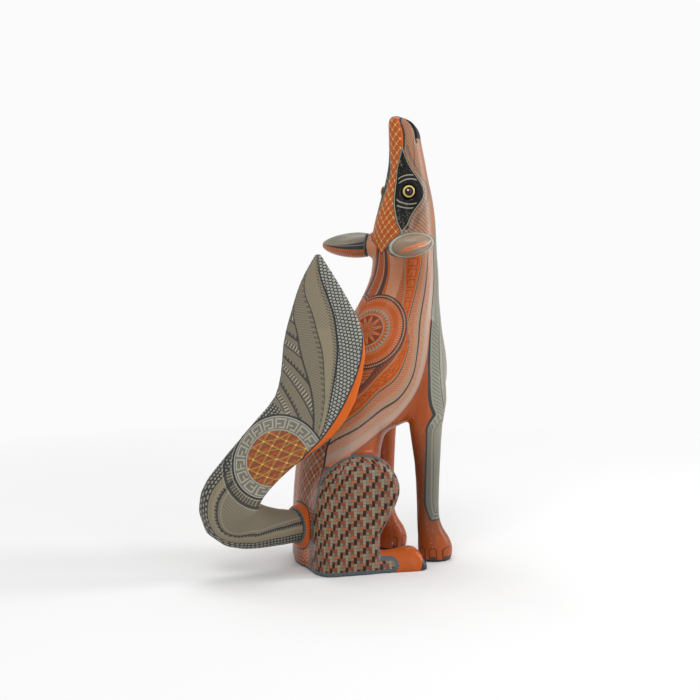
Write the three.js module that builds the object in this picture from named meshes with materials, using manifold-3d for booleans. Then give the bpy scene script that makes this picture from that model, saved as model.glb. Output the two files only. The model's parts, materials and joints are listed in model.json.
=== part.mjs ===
// Seated howling coyote, a carved and painted softwood figure.
//
// The block (body, neck, head, legs) is one carving with its grain upright. The ears and the tail
// would be cut across that grain, so they are carved apart and pegged on with round dowels. The two
// eyes are domed cabochons let into sockets.
//
// Millimetres, +Z up, +X forward, +Y to the animal's left. The group is centred on its footprint.

import * as THREE from "three";
import { mergeVertices } from "three/addons/utils/BufferGeometryUtils.js";
import Module from "manifold-3d";

const wasm = await Module();
wasm.setup();

// ---------------------------------------------------------------- driving dimensions

const GAP = 0.3;                 // clearance between neighbouring pieces
const CLEAR = 3;                 // how far a drilled hole runs past the surface that it opens on
const HEAD_TURN = 18;            // degrees that the head looks to its left
const TURN_FROM = 150;           // height where the neck starts to turn
const TURN_TO = 245;             // height where the full turn is reached

// The column from rump to nose, as horizontal sections: height, back edge, front edge and half width.
const COLUMN = [
  { z: -2, back: -44.5, front: 20, half: 41 },
  { z: 15, back: -46, front: 22, half: 42 },
  { z: 40, back: -46, front: 22, half: 41 },
  { z: 65, back: -45, front: 22, half: 38 },
  { z: 85, back: -43, front: 23, half: 35 },
  { z: 100, back: -40.5, front: 26, half: 33 },
  { z: 108, back: -39, front: 34, half: 32 },
  { z: 116, back: -36, front: 58, half: 32 },
  { z: 126, back: -32, front: 75, half: 32 },
  { z: 138, back: -27, front: 82, half: 33 },
  { z: 150, back: -22, front: 84, half: 34 },
  { z: 166, back: -14, front: 83, half: 34 },
  { z: 183, back: -6, front: 80, half: 33 },
  { z: 199, back: 4, front: 78, half: 31 },
  { z: 215, back: 14, front: 76, half: 29 },
  { z: 231, back: 21, front: 75, half: 27 },
  { z: 247, back: 22.5, front: 73.5, half: 26 },
  { z: 262, back: 22.5, front: 72.5, half: 26 },
  { z: 277, back: 25, front: 71, half: 25 },
  { z: 292, back: 29, front: 69, half: 22 },
  { z: 307, back: 33.5, front: 66, half: 18 },
  { z: 322, back: 35.5, front: 63.5, half: 15 },
  { z: 336, back: 35, front: 61, half: 13 },
  { z: 345, back: 34.5, front: 59.5, half: 12 },
  { z: 352, back: 34, front: 55, half: 10 },
  { z: 356, back: 35, front: 48, half: 7 },
  { z: 358, back: 37, front: 43, half: 3.5 },
];
const COLUMN_SQUARENESS = 2.1;   // 2 is an ellipse, more is boxier
const COLUMN_SIDES = 32;

const FORELEG = {                // sections down the leg: height, forward shift, half depth, half width
  spread: 25,
  rightAhead: 57.8,
  leftAhead: 40,
  sections: [
    { z: 195, shift: 2, deep: 8, wide: 2 },
    { z: 175, shift: 1, deep: 12, wide: 5 },
    { z: 150, shift: 0, deep: 14.5, wide: 9 },
    { z: 130, shift: 0, deep: 16, wide: 10 },
    { z: 110, shift: -2, deep: 14, wide: 11 },
    { z: 80, shift: -0.5, deep: 10.5, wide: 10.5 },
    { z: 52, shift: 0, deep: 9, wide: 10 },
    { z: 36, shift: 0.5, deep: 9, wide: 10 },
    { z: 26, shift: 2.5, deep: 10.5, wide: 11 },
    { z: 18, shift: 5.5, deep: 13, wide: 12.5 },
    { z: 10, shift: 7, deep: 14.5, wide: 13 },
    { z: 3, shift: 7, deep: 14, wide: 12.5 },
    { z: -2, shift: 6.5, deep: 12.5, wide: 11.5 },
  ],
};

const HAUNCH = {                 // side outline, and how the outer side splays and rounds over
  right: { outer: 50.5, stretch: 1.0 },
  left: { outer: 46, stretch: 0.92 },
  front: 24,
  splay: 0.1,
  inner: 8,
  round: 12,
  rearSoften: 1.1,               // the rear edge rounds over this much more than the front one
  middle: [-12, 44],             // the flat of the thigh, which the rounding draws in towards
  outline: [
    [-43, -4], [-44, 30], [-42, 58], [-36, 78], [-22, 90], [-4, 93], [12, 88], [22, 75],
    [24, 61], [16, 42], [7.5, 27], [6, 12], [6, -4],
  ],
};
const HIND_FOOT = {              // sections along the foot: forward place, share of height, share of width
  height: 17.5,
  half: 11,
  side: 40.5,
  splay: 0.12,
  sections: [
    [-10, 0.95, 0.9], [10, 0.93, 0.95], [22, 0.98, 1], [31, 1.08, 1.05], [37, 0.98, 1.03],
    [42, 0.66, 0.9], [45, 0.32, 0.6], [46, 0.08, 0.3],
  ],
};

const COLLAR = {                 // the boss on the rump that the tail seats on
  at: [-51, -8.5, 33.5],
  azimuth: 196,
  faceRadius: 13.4,
  footRadius: 17,
  root: 20,                      // how far it reaches into the rump
  rim: 1,                        // straight edge at its face
};

const TAIL = {                   // spine of the tail with half chord and half thickness at each station
  normalAzimuth: -127,
  stations: [
    { at: [-51, -8.5, 33.5], chord: 12.8, thick: 12.8 },
    { at: [-68, -13, 35], chord: 15, thick: 12.8 },
    { at: [-90, -18, 39], chord: 19.5, thick: 12.8 },
    { at: [-106, -22, 47], chord: 24.5, thick: 12.8 },
    { at: [-109, -26, 61], chord: 24.2, thick: 12.5 },
    { at: [-101.5, -29, 76], chord: 21.8, thick: 11.5 },
    { at: [-87, -32, 93], chord: 22, thick: 11 },
    { at: [-72, -34, 107.5], chord: 23.5, thick: 10.5 },
    { at: [-54, -36, 124.5], chord: 26.5, thick: 10 },
    { at: [-43, -39, 147], chord: 30.5, thick: 9.5 },
    { at: [-38, -41, 174.5], chord: 33, thick: 9 },
    { at: [-39, -42, 193.5], chord: 29.5, thick: 8 },
    { at: [-40.5, -42, 207.5], chord: 24, thick: 7 },
    { at: [-42, -42, 221.5], chord: 17.8, thick: 5.5 },
    { at: [-42.8, -42, 235], chord: 10.5, thick: 4 },
    { at: [-43, -42, 248.5], chord: 2, thick: 1.5 },
  ],
};

const EAR = {
  z: 255,
  offDorsal: 53,                 // degrees from the dorsal line round to the ear
  roll: 10,                      // degrees that the leaf is turned about its own length
  seat: 30,                      // distance of the seat from the axis of the head
  boss: [[12, 1.35], [22, 1.22], [30, 1]],  // its root in the head: distance out, size against the ear
  length: 38,
  sections: [                    // along the ear: fraction of length, half width, half thickness
    { t: 0, wide: 12, thick: 9.5 },
    { t: 0.2, wide: 16.5, thick: 10.2 },
    { t: 0.42, wide: 19, thick: 9.6 },
    { t: 0.65, wide: 17, thick: 8 },
    { t: 0.86, wide: 10.5, thick: 5.5 },
    { t: 1, wide: 3, thick: 2.5 },
  ],
};
const HEAD_AXIS_X = 48;           // the upright line through the middle of the head

const PEG_SIDES = 24;
const TAIL_PEG = { radius: 5, inBody: 14, inTail: 14 };
const EAR_PEG = { radius: 3.2, inBody: 10, inEar: 10 };

const EYE = { radius: 5.2, offDorsal: 57, z: 297.5, fromAxis: 17.5, dome: 2.6, stem: 4, socket: 20 };
const EYE_HOLLOW = [9, 12, 34];  // radii of the hollow that the eye lies in: outward, across, upward

const MOUTH = { hinge: 334, depth: 38, gape: 5, forward: 52, width: 60 };

// ---------------------------------------------------------------- small tools

const rad = THREE.MathUtils.degToRad;
const horizontal = (degrees) => new THREE.Vector3(Math.cos(rad(degrees)), Math.sin(rad(degrees)), 0);

// Catmull-Rom through a list of equal-length number rows.
function smoothRows(rows, steps) {
  const out = [];
  const last = rows.length - 1;
  for (let i = 0; i <= last * steps; i += 1) {
    const at = Math.min(Math.floor(i / steps), last - 1);
    const t = i / steps - at;
    const p = [Math.max(at - 1, 0), at, at + 1, Math.min(at + 2, last)].map((k) => rows[k]);
    out.push(p[1].map((b, k) => {
      const a = p[0][k];
      const c = p[2][k];
      const d = p[3][k];
      return 0.5 * (2 * b + (c - a) * t + (2 * a - 5 * b + 4 * c - d) * t * t
        + (3 * b - 3 * c + d - a) * t * t * t);
    }));
  }
  return out;
}

// Skin a list of rings, each an array of the same number of points, and cap both ends.
function skin(rings) {
  const count = rings[0].length;
  const positions = [];
  const index = [];
  for (const ring of rings) for (const p of ring) positions.push(p.x, p.y, p.z);
  for (let r = 0; r < rings.length - 1; r += 1) {
    for (let k = 0; k < count; k += 1) {
      const a = r * count + k;
      const b = r * count + ((k + 1) % count);
      index.push(a, b, a + count, b, b + count, a + count);
    }
  }
  for (const [r, flip] of [[0, true], [rings.length - 1, false]]) {
    const centre = rings[r].reduce((s, p) => s.add(p), new THREE.Vector3()).divideScalar(count);
    positions.push(centre.x, centre.y, centre.z);
    const hub = positions.length / 3 - 1;
    for (let k = 0; k < count; k += 1) {
      const a = r * count + k;
      const b = r * count + ((k + 1) % count);
      index.push(...(flip ? [hub, b, a] : [hub, a, b]));
    }
  }
  const geometry = new THREE.BufferGeometry();
  geometry.setAttribute("position", new THREE.Float32BufferAttribute(positions, 3));
  geometry.setIndex(index);
  return toSolid(geometry);
}

// A closed geometry as a solid, turned the right way out.
function toSolid(source) {
  const bare = source.index ? source.clone() : mergeVertices(source);
  for (const name of Object.keys(bare.attributes)) if (name !== "position") bare.deleteAttribute(name);
  const geometry = mergeVertices(bare, 1e-4);
  const vertProperties = Float32Array.from(geometry.attributes.position.array);
  const triVerts = Uint32Array.from(geometry.index.array);
  if (signedVolume(vertProperties, triVerts) < 0) {
    for (let i = 0; i < triVerts.length; i += 3) {
      [triVerts[i + 1], triVerts[i + 2]] = [triVerts[i + 2], triVerts[i + 1]];
    }
  }
  return new wasm.Manifold(new wasm.Mesh({ numProp: 3, vertProperties, triVerts }));
}

function signedVolume(points, triangles) {
  const at = (i) => new THREE.Vector3().fromArray(points, 3 * i);
  let sum = 0;
  for (let i = 0; i < triangles.length; i += 3) {
    sum += at(triangles[i]).dot(at(triangles[i + 1]).cross(at(triangles[i + 2])));
  }
  return sum;
}

function toMesh(name, solid, colour, roughness) {
  const { vertProperties, triVerts } = solid.getMesh();
  const geometry = new THREE.BufferGeometry();
  geometry.setAttribute("position", new THREE.BufferAttribute(new Float32Array(vertProperties), 3));
  geometry.setIndex(new THREE.BufferAttribute(new Uint32Array(triVerts), 1));
  geometry.computeVertexNormals();
  const mesh = new THREE.Mesh(geometry,
    new THREE.MeshStandardMaterial({ color: colour, roughness, metalness: 0 }));
  mesh.name = name;
  return mesh;
}

const join = (...solids) => solids.reduce((a, b) => a.add(b));

// One superelliptic ring: centre, two half axes as vectors, and a squareness.
function ring(centre, u, v, sides, squareness = 2) {
  const power = 2 / squareness;
  const points = [];
  for (let k = 0; k < sides; k += 1) {
    const t = (2 * Math.PI * k) / sides;
    const c = Math.cos(t);
    const s = Math.sin(t);
    points.push(centre.clone()
      .addScaledVector(u, Math.sign(c) * Math.abs(c) ** power)
      .addScaledVector(v, Math.sign(s) * Math.abs(s) ** power));
  }
  return points;
}

// A round rod from one point along a direction.
function rod(start, direction, length, radius, sides = PEG_SIDES) {
  const geometry = new THREE.CylinderGeometry(radius, radius, length, sides);
  geometry.translate(0, length / 2, 0);
  geometry.applyQuaternion(new THREE.Quaternion().setFromUnitVectors(
    new THREE.Vector3(0, 1, 0), direction.clone().normalize()));
  geometry.translate(start.x, start.y, start.z);
  return toSolid(geometry);
}

function block(x0, x1, y0, y1, z0, z1) {
  const geometry = new THREE.BoxGeometry(x1 - x0, y1 - y0, z1 - z0);
  geometry.translate((x0 + x1) / 2, (y0 + y1) / 2, (z0 + z1) / 2);
  return toSolid(geometry);
}

function ellipsoid(centre, radii, turn = 0, wide = 20, high = 12) {
  const geometry = new THREE.SphereGeometry(1, wide, high);
  geometry.rotateX(Math.PI / 2);
  geometry.scale(...radii);
  geometry.rotateZ(rad(turn));
  geometry.translate(...centre);
  return toSolid(geometry);
}

// ---------------------------------------------------------------- the column: trunk, neck and head

const turnAt = (z) => HEAD_TURN * THREE.MathUtils.smoothstep(z, TURN_FROM, TURN_TO);

function makeColumn() {
  const rows = smoothRows(COLUMN.map((s) => [s.z, s.back, s.front, s.half]), 2);
  return skin(rows.map(([z, back, front, half]) => {
    const along = horizontal(turnAt(z));
    const across = horizontal(turnAt(z) + 90);
    const centre = new THREE.Vector3((back + front) / 2, 0, z);
    return ring(centre, along.multiplyScalar((front - back) / 2), across.multiplyScalar(half),
      COLUMN_SIDES, COLUMN_SQUARENESS);
  }));
}

function makeForeleg(side, ahead) {
  const rows = smoothRows(FORELEG.sections.map((s) => [s.z, s.shift, s.deep, s.wide]), 2);
  const y = side * FORELEG.spread;
  return skin(rows.map(([z, shift, deep, wide]) => ring(new THREE.Vector3(ahead + shift, y, z),
    new THREE.Vector3(deep, 0, 0), new THREE.Vector3(0, wide, 0), 16)));
}

function makeHaunch(side) {
  const { outer, stretch } = side < 0 ? HAUNCH.right : HAUNCH.left;
  const outline = smoothRows(HAUNCH.outline, 2)
    .map(([x, z]) => [HAUNCH.front - (HAUNCH.front - x) * stretch, z]);
  const { middle } = HAUNCH;
  const levels = [[HAUNCH.inner, 0], [outer - HAUNCH.round, 0]];
  for (const a of [30, 55, 75, 90]) {
    levels.push([outer - HAUNCH.round * (1 - Math.sin(rad(a))),
      HAUNCH.round * (1 - Math.cos(rad(a)))]);
  }
  return skin(levels.map(([out, inset]) => outline.map(([x, z]) => {
    const dx = x - middle[0];
    const dz = z - middle[1];
    const reach = Math.hypot(dx, dz);
    const soften = 1 + HAUNCH.rearSoften * Math.max(0, -dx / reach);
    const keep = 1 - (inset * soften) / reach;
    const lift = z < 0 ? z : middle[1] + dz * keep;
    const forward = middle[0] + dx * keep;
    return new THREE.Vector3(forward, side * (out + HAUNCH.splay * (forward - middle[0])), lift);
  })));
}

function makeHindFoot(side) {
  const { height, half, sections } = HIND_FOOT;
  return skin(smoothRows(sections, 2).map(([x, tall, wide]) => ring(
    new THREE.Vector3(x, side * (HIND_FOOT.side + HIND_FOOT.splay * x), 0),
    new THREE.Vector3(0, half * wide, 0), new THREE.Vector3(0, 0, height * tall), 20)));
}

// ---------------------------------------------------------------- seats for the pegged pieces

const dorsal = HEAD_TURN + 180;
const earDirection = { right: horizontal(dorsal + EAR.offDorsal), left: horizontal(dorsal - EAR.offDorsal) };
const headAxis = (z) => new THREE.Vector3(HEAD_AXIS_X, 0, z);
const upright = new THREE.Vector3(0, 0, 1);

// The flat axes of an ear: across the leaf, and square to the leaf.
function earAxes(which) {
  const out = earDirection[which];
  const turn = rad(which === "right" ? EAR.roll : -EAR.roll);
  const across = new THREE.Vector3().crossVectors(upright, out).applyAxisAngle(out, turn);
  return { out, across, up: upright.clone().applyAxisAngle(out, turn) };
}

function earPoint(which, distance) {
  return headAxis(EAR.z).addScaledVector(earDirection[which], distance);
}

function makeEarSeat(which) {
  const { across, up } = earAxes(which);
  const first = EAR.sections[0];
  const rings = EAR.boss.map(([d, grow]) => ring(earPoint(which, d),
    across.clone().multiplyScalar(first.wide * grow), up.clone().multiplyScalar(first.thick * grow), 24));
  return skin(rings);
}

function makeEar(which) {
  const { out, across, up } = earAxes(which);
  const rows = smoothRows(EAR.sections.map((s) => [s.t, s.wide, s.thick]), 3);
  const leaf = skin(rows.map(([t, wide, thick]) => ring(earPoint(which, EAR.seat + GAP + t * EAR.length),
    across.clone().multiplyScalar(wide), up.clone().multiplyScalar(thick), 24)));
  const bore = rod(earPoint(which, EAR.seat - CLEAR), out, EAR_PEG.inEar + CLEAR + GAP,
    EAR_PEG.radius + GAP);
  return leaf.subtract(bore);
}

function makeEarPeg(which) {
  return rod(earPoint(which, EAR.seat - EAR_PEG.inBody), earDirection[which],
    EAR_PEG.inBody + EAR_PEG.inEar, EAR_PEG.radius);
}

function earSocket(which) {
  return rod(earPoint(which, EAR.seat - EAR_PEG.inBody - GAP), earDirection[which],
    EAR_PEG.inBody + CLEAR, EAR_PEG.radius + GAP);
}

const tailOut = horizontal(COLLAR.azimuth);
const tailFace = new THREE.Vector3(...COLLAR.at);
const tailPoint = (distance) => tailFace.clone().addScaledVector(tailOut, distance);

// The collar flares from its face to its foot in a quarter circle.
function makeCollar() {
  const flare = COLLAR.footRadius - COLLAR.faceRadius;
  const across = new THREE.Vector3().crossVectors(upright, tailOut);
  const rings = [[-COLLAR.root, COLLAR.footRadius]];
  for (const a of [0, 30, 60, 90]) {
    rings.push([-flare * (1 - Math.sin(rad(a))) - COLLAR.rim,
      COLLAR.footRadius - flare * (1 - Math.cos(rad(a)))]);
  }
  rings.push([0, COLLAR.faceRadius]);
  return skin(rings.map(([distance, radius]) => ring(tailPoint(distance),
    across.clone().multiplyScalar(radius), upright.clone().multiplyScalar(radius), 28)));
}

const eyeOut = (side) => horizontal(dorsal + side * EYE.offDorsal);
const eyeAt = (side) => headAxis(EYE.z).addScaledVector(eyeOut(side), EYE.fromAxis);

// ---------------------------------------------------------------- the pieces

function makeBody() {
  let body = join(
    makeColumn(),
    makeForeleg(-1, FORELEG.rightAhead), makeForeleg(1, FORELEG.leftAhead),
    makeHaunch(-1), makeHaunch(1),
    makeHindFoot(-1), makeHindFoot(1),
    makeCollar(), makeEarSeat("right"), makeEarSeat("left"),
  );
  for (const side of [-1, 1]) {
    const hollow = headAxis(EYE.z).addScaledVector(eyeOut(side), EYE.fromAxis + EYE_HOLLOW[0]);
    body = body.subtract(ellipsoid(hollow.toArray(), EYE_HOLLOW, dorsal + side * EYE.offDorsal));
  }
  body = body.subtract(block(-200, 200, -200, 200, -60, 0));
  body = body.subtract(makeMouth());
  body = body.subtract(rod(tailPoint(-TAIL_PEG.inBody - GAP), tailOut, TAIL_PEG.inBody + CLEAR,
    TAIL_PEG.radius + GAP));
  for (const which of ["right", "left"]) body = body.subtract(earSocket(which));
  for (const side of [-1, 1]) {
    body = body.subtract(rod(eyeAt(side).addScaledVector(eyeOut(side), -EYE.stem - GAP), eyeOut(side),
      EYE.socket, EYE.radius + GAP));
  }
  return body;
}

// The gape is a wedge between the jaws, open at the tip and running across the head.
function makeMouth() {
  const { hinge, depth, gape, forward, width } = MOUTH;
  const shape = new THREE.Shape();
  shape.moveTo(0, hinge);
  shape.lineTo(gape, hinge + depth);
  shape.lineTo(0, hinge + depth);
  const geometry = new THREE.ExtrudeGeometry(shape, { depth: width, bevelEnabled: false });
  geometry.translate(0, 0, -width / 2);
  geometry.rotateX(Math.PI / 2);
  geometry.rotateZ(rad(HEAD_TURN));
  geometry.translate(forward, 0, 0);
  return toSolid(geometry);
}

function makeTail() {
  const rows = smoothRows(TAIL.stations.map((s) => [...s.at, s.chord, s.thick]), 2);
  const points = rows.map(([x, y, z]) => new THREE.Vector3(x, y, z));
  points[0].addScaledVector(tailOut, GAP);
  const facing = horizontal(TAIL.normalAzimuth);
  const rings = rows.map(([, , , chord, thick], i) => {
    const ahead = points[Math.min(i + 1, points.length - 1)];
    const behind = points[Math.max(i - 1, 0)];
    const along = i === 0 ? tailOut.clone() : ahead.clone().sub(behind).normalize();
    const across = new THREE.Vector3().crossVectors(along, facing).normalize();
    const normal = new THREE.Vector3().crossVectors(across, along);
    return ring(points[i], across.multiplyScalar(chord), normal.multiplyScalar(thick), 28);
  });
  const bore = rod(tailPoint(-CLEAR), tailOut, TAIL_PEG.inTail + CLEAR + GAP, TAIL_PEG.radius + GAP);
  return skin(rings).subtract(bore);
}

function makeTailPeg() {
  return rod(tailPoint(-TAIL_PEG.inBody), tailOut, TAIL_PEG.inBody + TAIL_PEG.inTail, TAIL_PEG.radius);
}

// A cabochon: a short stem in the socket with a shallow dome over it.
function makeEye(side) {
  const profile = [new THREE.Vector2(0, 0), new THREE.Vector2(EYE.radius, 0),
    new THREE.Vector2(EYE.radius, EYE.stem)];
  const steps = 5;
  for (let k = 1; k <= steps; k += 1) {
    const a = (k / steps) * Math.PI / 2;
    profile.push(new THREE.Vector2(k === steps ? 0 : EYE.radius * Math.cos(a),
      EYE.stem + EYE.dome * Math.sin(a)));
  }
  const geometry = new THREE.LatheGeometry(profile, 24);
  geometry.applyQuaternion(new THREE.Quaternion().setFromUnitVectors(
    new THREE.Vector3(0, 1, 0), eyeOut(side)));
  const base = eyeAt(side).addScaledVector(eyeOut(side), -EYE.stem);
  geometry.translate(base.x, base.y, base.z);
  return toSolid(geometry);
}

const figure = new THREE.Group();
figure.add(
  toMesh("body", makeBody(), 0xa5562f, 0.45),
  toMesh("tail", makeTail(), 0x8c8270, 0.45),
  toMesh("tail_peg", makeTailPeg(), 0xd9c39a, 0.7),
  toMesh("right_ear", makeEar("right"), 0x7d766a, 0.45),
  toMesh("right_ear_peg", makeEarPeg("right"), 0xd9c39a, 0.7),
  toMesh("left_ear", makeEar("left"), 0x7d766a, 0.45),
  toMesh("left_ear_peg", makeEarPeg("left"), 0xd9c39a, 0.7),
  toMesh("right_eye", makeEye(1), 0x6b4a1c, 0.08),
  toMesh("left_eye", makeEye(-1), 0x6b4a1c, 0.08),
);

// Stand the figure at the middle of its footprint.
const box = new THREE.Box3().setFromObject(figure);
const centre = box.getCenter(new THREE.Vector3());
figure.position.set(-centre.x, -centre.y, -box.min.z);
const part = new THREE.Group();
part.add(figure);
export default part;
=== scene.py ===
"""Seated howling coyote in carved and painted softwood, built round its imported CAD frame.

Each carved piece is the CAD piece worked finer and painted. The painting is laid out in the carver's
own coordinates: straightened along the twisted neck on the body, along the spine on the tail, and
across the leaf on the ears. Lengths are millimetres unless a name says otherwise.
"""

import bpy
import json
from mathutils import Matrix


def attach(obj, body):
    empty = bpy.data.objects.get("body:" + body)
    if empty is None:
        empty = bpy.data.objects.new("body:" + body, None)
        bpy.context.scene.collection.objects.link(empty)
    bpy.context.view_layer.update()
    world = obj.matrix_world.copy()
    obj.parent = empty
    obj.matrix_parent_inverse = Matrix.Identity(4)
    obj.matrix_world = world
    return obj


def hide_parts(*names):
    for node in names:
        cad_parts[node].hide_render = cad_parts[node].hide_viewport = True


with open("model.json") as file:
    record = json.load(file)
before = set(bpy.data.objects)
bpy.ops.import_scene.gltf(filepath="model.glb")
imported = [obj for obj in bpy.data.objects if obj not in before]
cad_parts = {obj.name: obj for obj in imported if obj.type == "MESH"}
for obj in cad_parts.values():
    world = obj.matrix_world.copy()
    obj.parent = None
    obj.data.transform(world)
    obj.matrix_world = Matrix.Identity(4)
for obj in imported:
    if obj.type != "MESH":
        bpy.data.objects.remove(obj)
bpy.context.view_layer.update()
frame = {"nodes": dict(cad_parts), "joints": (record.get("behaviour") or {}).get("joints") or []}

import json
import logging
import math
from dataclasses import dataclass, field
from enum import Enum

import bmesh
import bpy
import numpy as np
from mathutils import Euler, Matrix, Vector

LOG = logging.getLogger("coyote")
MM = 0.001
TAIL_SEAT = np.array([-51.0, -8.5, 33.5])    # the tail's seat, in the carver's coordinates
TAIL_BEARING = 196.0                          # the way that the tail draws out of it, in degrees
ROOM_WHITE = (0.965, 0.965, 0.965, 1.0)


def carver_shift() -> np.ndarray:
    """What the frame adds to the carver's coordinates, in millimetres, found from the tail's joint."""
    seat = next(j for j in frame["joints"] if j["name"] == "tail_turn")["pos_m"]
    return np.array(seat) / MM - TAIL_SEAT


SHIFT = carver_shift()


# ---------------------------------------------------------------- colours


class Paint(Enum):
    """The painter's pots, as screen red, green and blue."""

    RUST = (160, 76, 30)
    BRICK = (126, 54, 26)
    BROWN = (92, 58, 36)
    SALMON = (196, 142, 110)
    ORANGE = (200, 92, 18)
    AMBER = (186, 84, 6)
    KHAKI = (136, 126, 104)
    TAUPE = (112, 104, 90)
    MAUVE = (96, 74, 64)
    STONE = (156, 150, 130)
    ASH = (158, 158, 148)
    SAGE = (138, 136, 120)
    SLATE = (80, 88, 92)
    CHARCOAL = (50, 50, 53)
    BLACK = (16, 14, 14)
    CREAM = (214, 190, 112)
    IVORY = (226, 214, 190)
    GOLD = (160, 134, 58)

    @property
    def linear(self) -> tuple[float, float, float, float]:
        """The colour in linear light."""
        return (*(((v / 255 + 0.055) / 1.055) ** 2.4 if v > 10 else v / 3294.6 for v in self.value), 1.0)


# ---------------------------------------------------------------- shader maths


def add_node(tree: bpy.types.NodeTree, kind: str, settings: dict | None = None,
             values: dict | None = None) -> bpy.types.Node:
    """Add one node to a tree.

    Args:
        tree: The tree.
        kind: The node's type.
        settings: Its own properties, set first.
        values: What its input sockets hold or are linked to, by name or number.

    Returns:
        The node.
    """
    made = tree.nodes.new(kind)
    for key, value in (settings or {}).items():
        setattr(made, key, value)
    for key, value in (values or {}).items():
        value = value.socket if isinstance(value, Num) else value
        if isinstance(value, bpy.types.NodeSocket):
            tree.links.new(value, made.inputs[key])
        else:
            made.inputs[key].default_value = value.linear if isinstance(value, Paint) else value
    return made


class Num:
    """A number that varies over a surface, kept as a socket, with the usual arithmetic."""

    def __init__(self, board: "Board", socket: bpy.types.NodeSocket) -> None:
        """Keep the socket and the board that it is on.

        Args:
            board: The board.
            socket: The socket.
        """
        self.board = board
        self.socket = socket

    def math(self, operation: str, *others: "Num | float", swap: bool = False) -> "Num":
        """Add one Math node.

        Args:
            operation: The node's operation.
            others: Its other operands.
            swap: Whether this number comes last.

        Returns:
            The node's result.
        """
        values = [self, *others]
        if swap:
            values.reverse()
        made = self.board.node("ShaderNodeMath", {"operation": operation}, dict(enumerate(values)))
        return Num(self.board, made.outputs[0])

    def __add__(self, other: "Num | float") -> "Num":
        """Sum."""
        return self.math("ADD", other)

    def __radd__(self, other: float) -> "Num":
        """Sum, reflected."""
        return self.math("ADD", other)

    def __sub__(self, other: "Num | float") -> "Num":
        """Difference."""
        return self.math("SUBTRACT", other)

    def __rsub__(self, other: float) -> "Num":
        """Difference, reflected."""
        return self.math("SUBTRACT", other, swap=True)

    def __mul__(self, other: "Num | float") -> "Num":
        """Product, which also joins two masks."""
        return self.math("MULTIPLY", other)

    def __rmul__(self, other: float) -> "Num":
        """Product, reflected."""
        return self.math("MULTIPLY", other)

    def __truediv__(self, other: "Num | float") -> "Num":
        """Quotient."""
        return self.math("DIVIDE", other)

    def __abs__(self) -> "Num":
        """Size without sign."""
        return self.math("ABSOLUTE")

    def __lt__(self, other: "Num | float") -> "Num":
        """One where this is less."""
        return self.math("LESS_THAN", other)

    def __gt__(self, other: "Num | float") -> "Num":
        """One where this is more."""
        return self.math("GREATER_THAN", other)

    def __or__(self, other: "Num") -> "Num":
        """One where either mask is."""
        return self.math("MAXIMUM", other)

    def least(self, other: "Num | float") -> "Num":
        """The smaller of two."""
        return self.math("MINIMUM", other)

    def floor(self) -> "Num":
        """Whole part."""
        return self.math("FLOOR")

    def saw(self, pitch: float) -> "Num":
        """Distance past the last multiple of pitch."""
        return self.math("MULTIPLY", 1.0 / pitch).math("FRACT") * pitch

    def fold(self, pitch: float) -> "Num":
        """Distance from the nearest multiple of pitch."""
        return self.math("PINGPONG", pitch / 2)

    def wave(self, length: float) -> "Num":
        """Sine of the given wavelength."""
        return (self * (math.tau / length)).math("SINE")

    def angle(self, other: "Num") -> "Num":
        """Angle in degrees of the direction whose height is this and whose run is the other."""
        return self.math("ARCTAN2", other) * (180 / math.pi)

    def reach(self, other: "Num") -> "Num":
        """Length of the line whose two legs are this and the other."""
        return (self * self + other * other).math("SQRT")


Shade = "bpy.types.NodeSocket | Paint"


@dataclass(frozen=True)
class Varnish:
    """How a finish is closed over its paint.

    wander is how much the roughness varies, relief how proud the raised strokes stand, in metres, and
    fibre the scale, detail and stretch of the softer surface under them.
    """

    roughness: float
    wander: float
    coat: float
    relief: float
    fibre: tuple[float, float, float] | None = None


BODY_VARNISH = Varnish(0.27, 0.14, 0.12, 0.00035, (900, 2.0, 3.0))
TAIL_VARNISH = Varnish(0.40, 0.14, 0.08, 0.0004, (900, 2.0, 2.0))
EAR_VARNISH = Varnish(0.38, 0.0, 0.1, 0.00035, (900, 2.0, 1.0))
EYE_GLAZE = Varnish(0.08, 0.0, 0.2, 0.0001)
BARE_DOWEL = Varnish(0.72, 0.0, 0.0, 0.0002, (1500, 2.0, 5.0))


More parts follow.
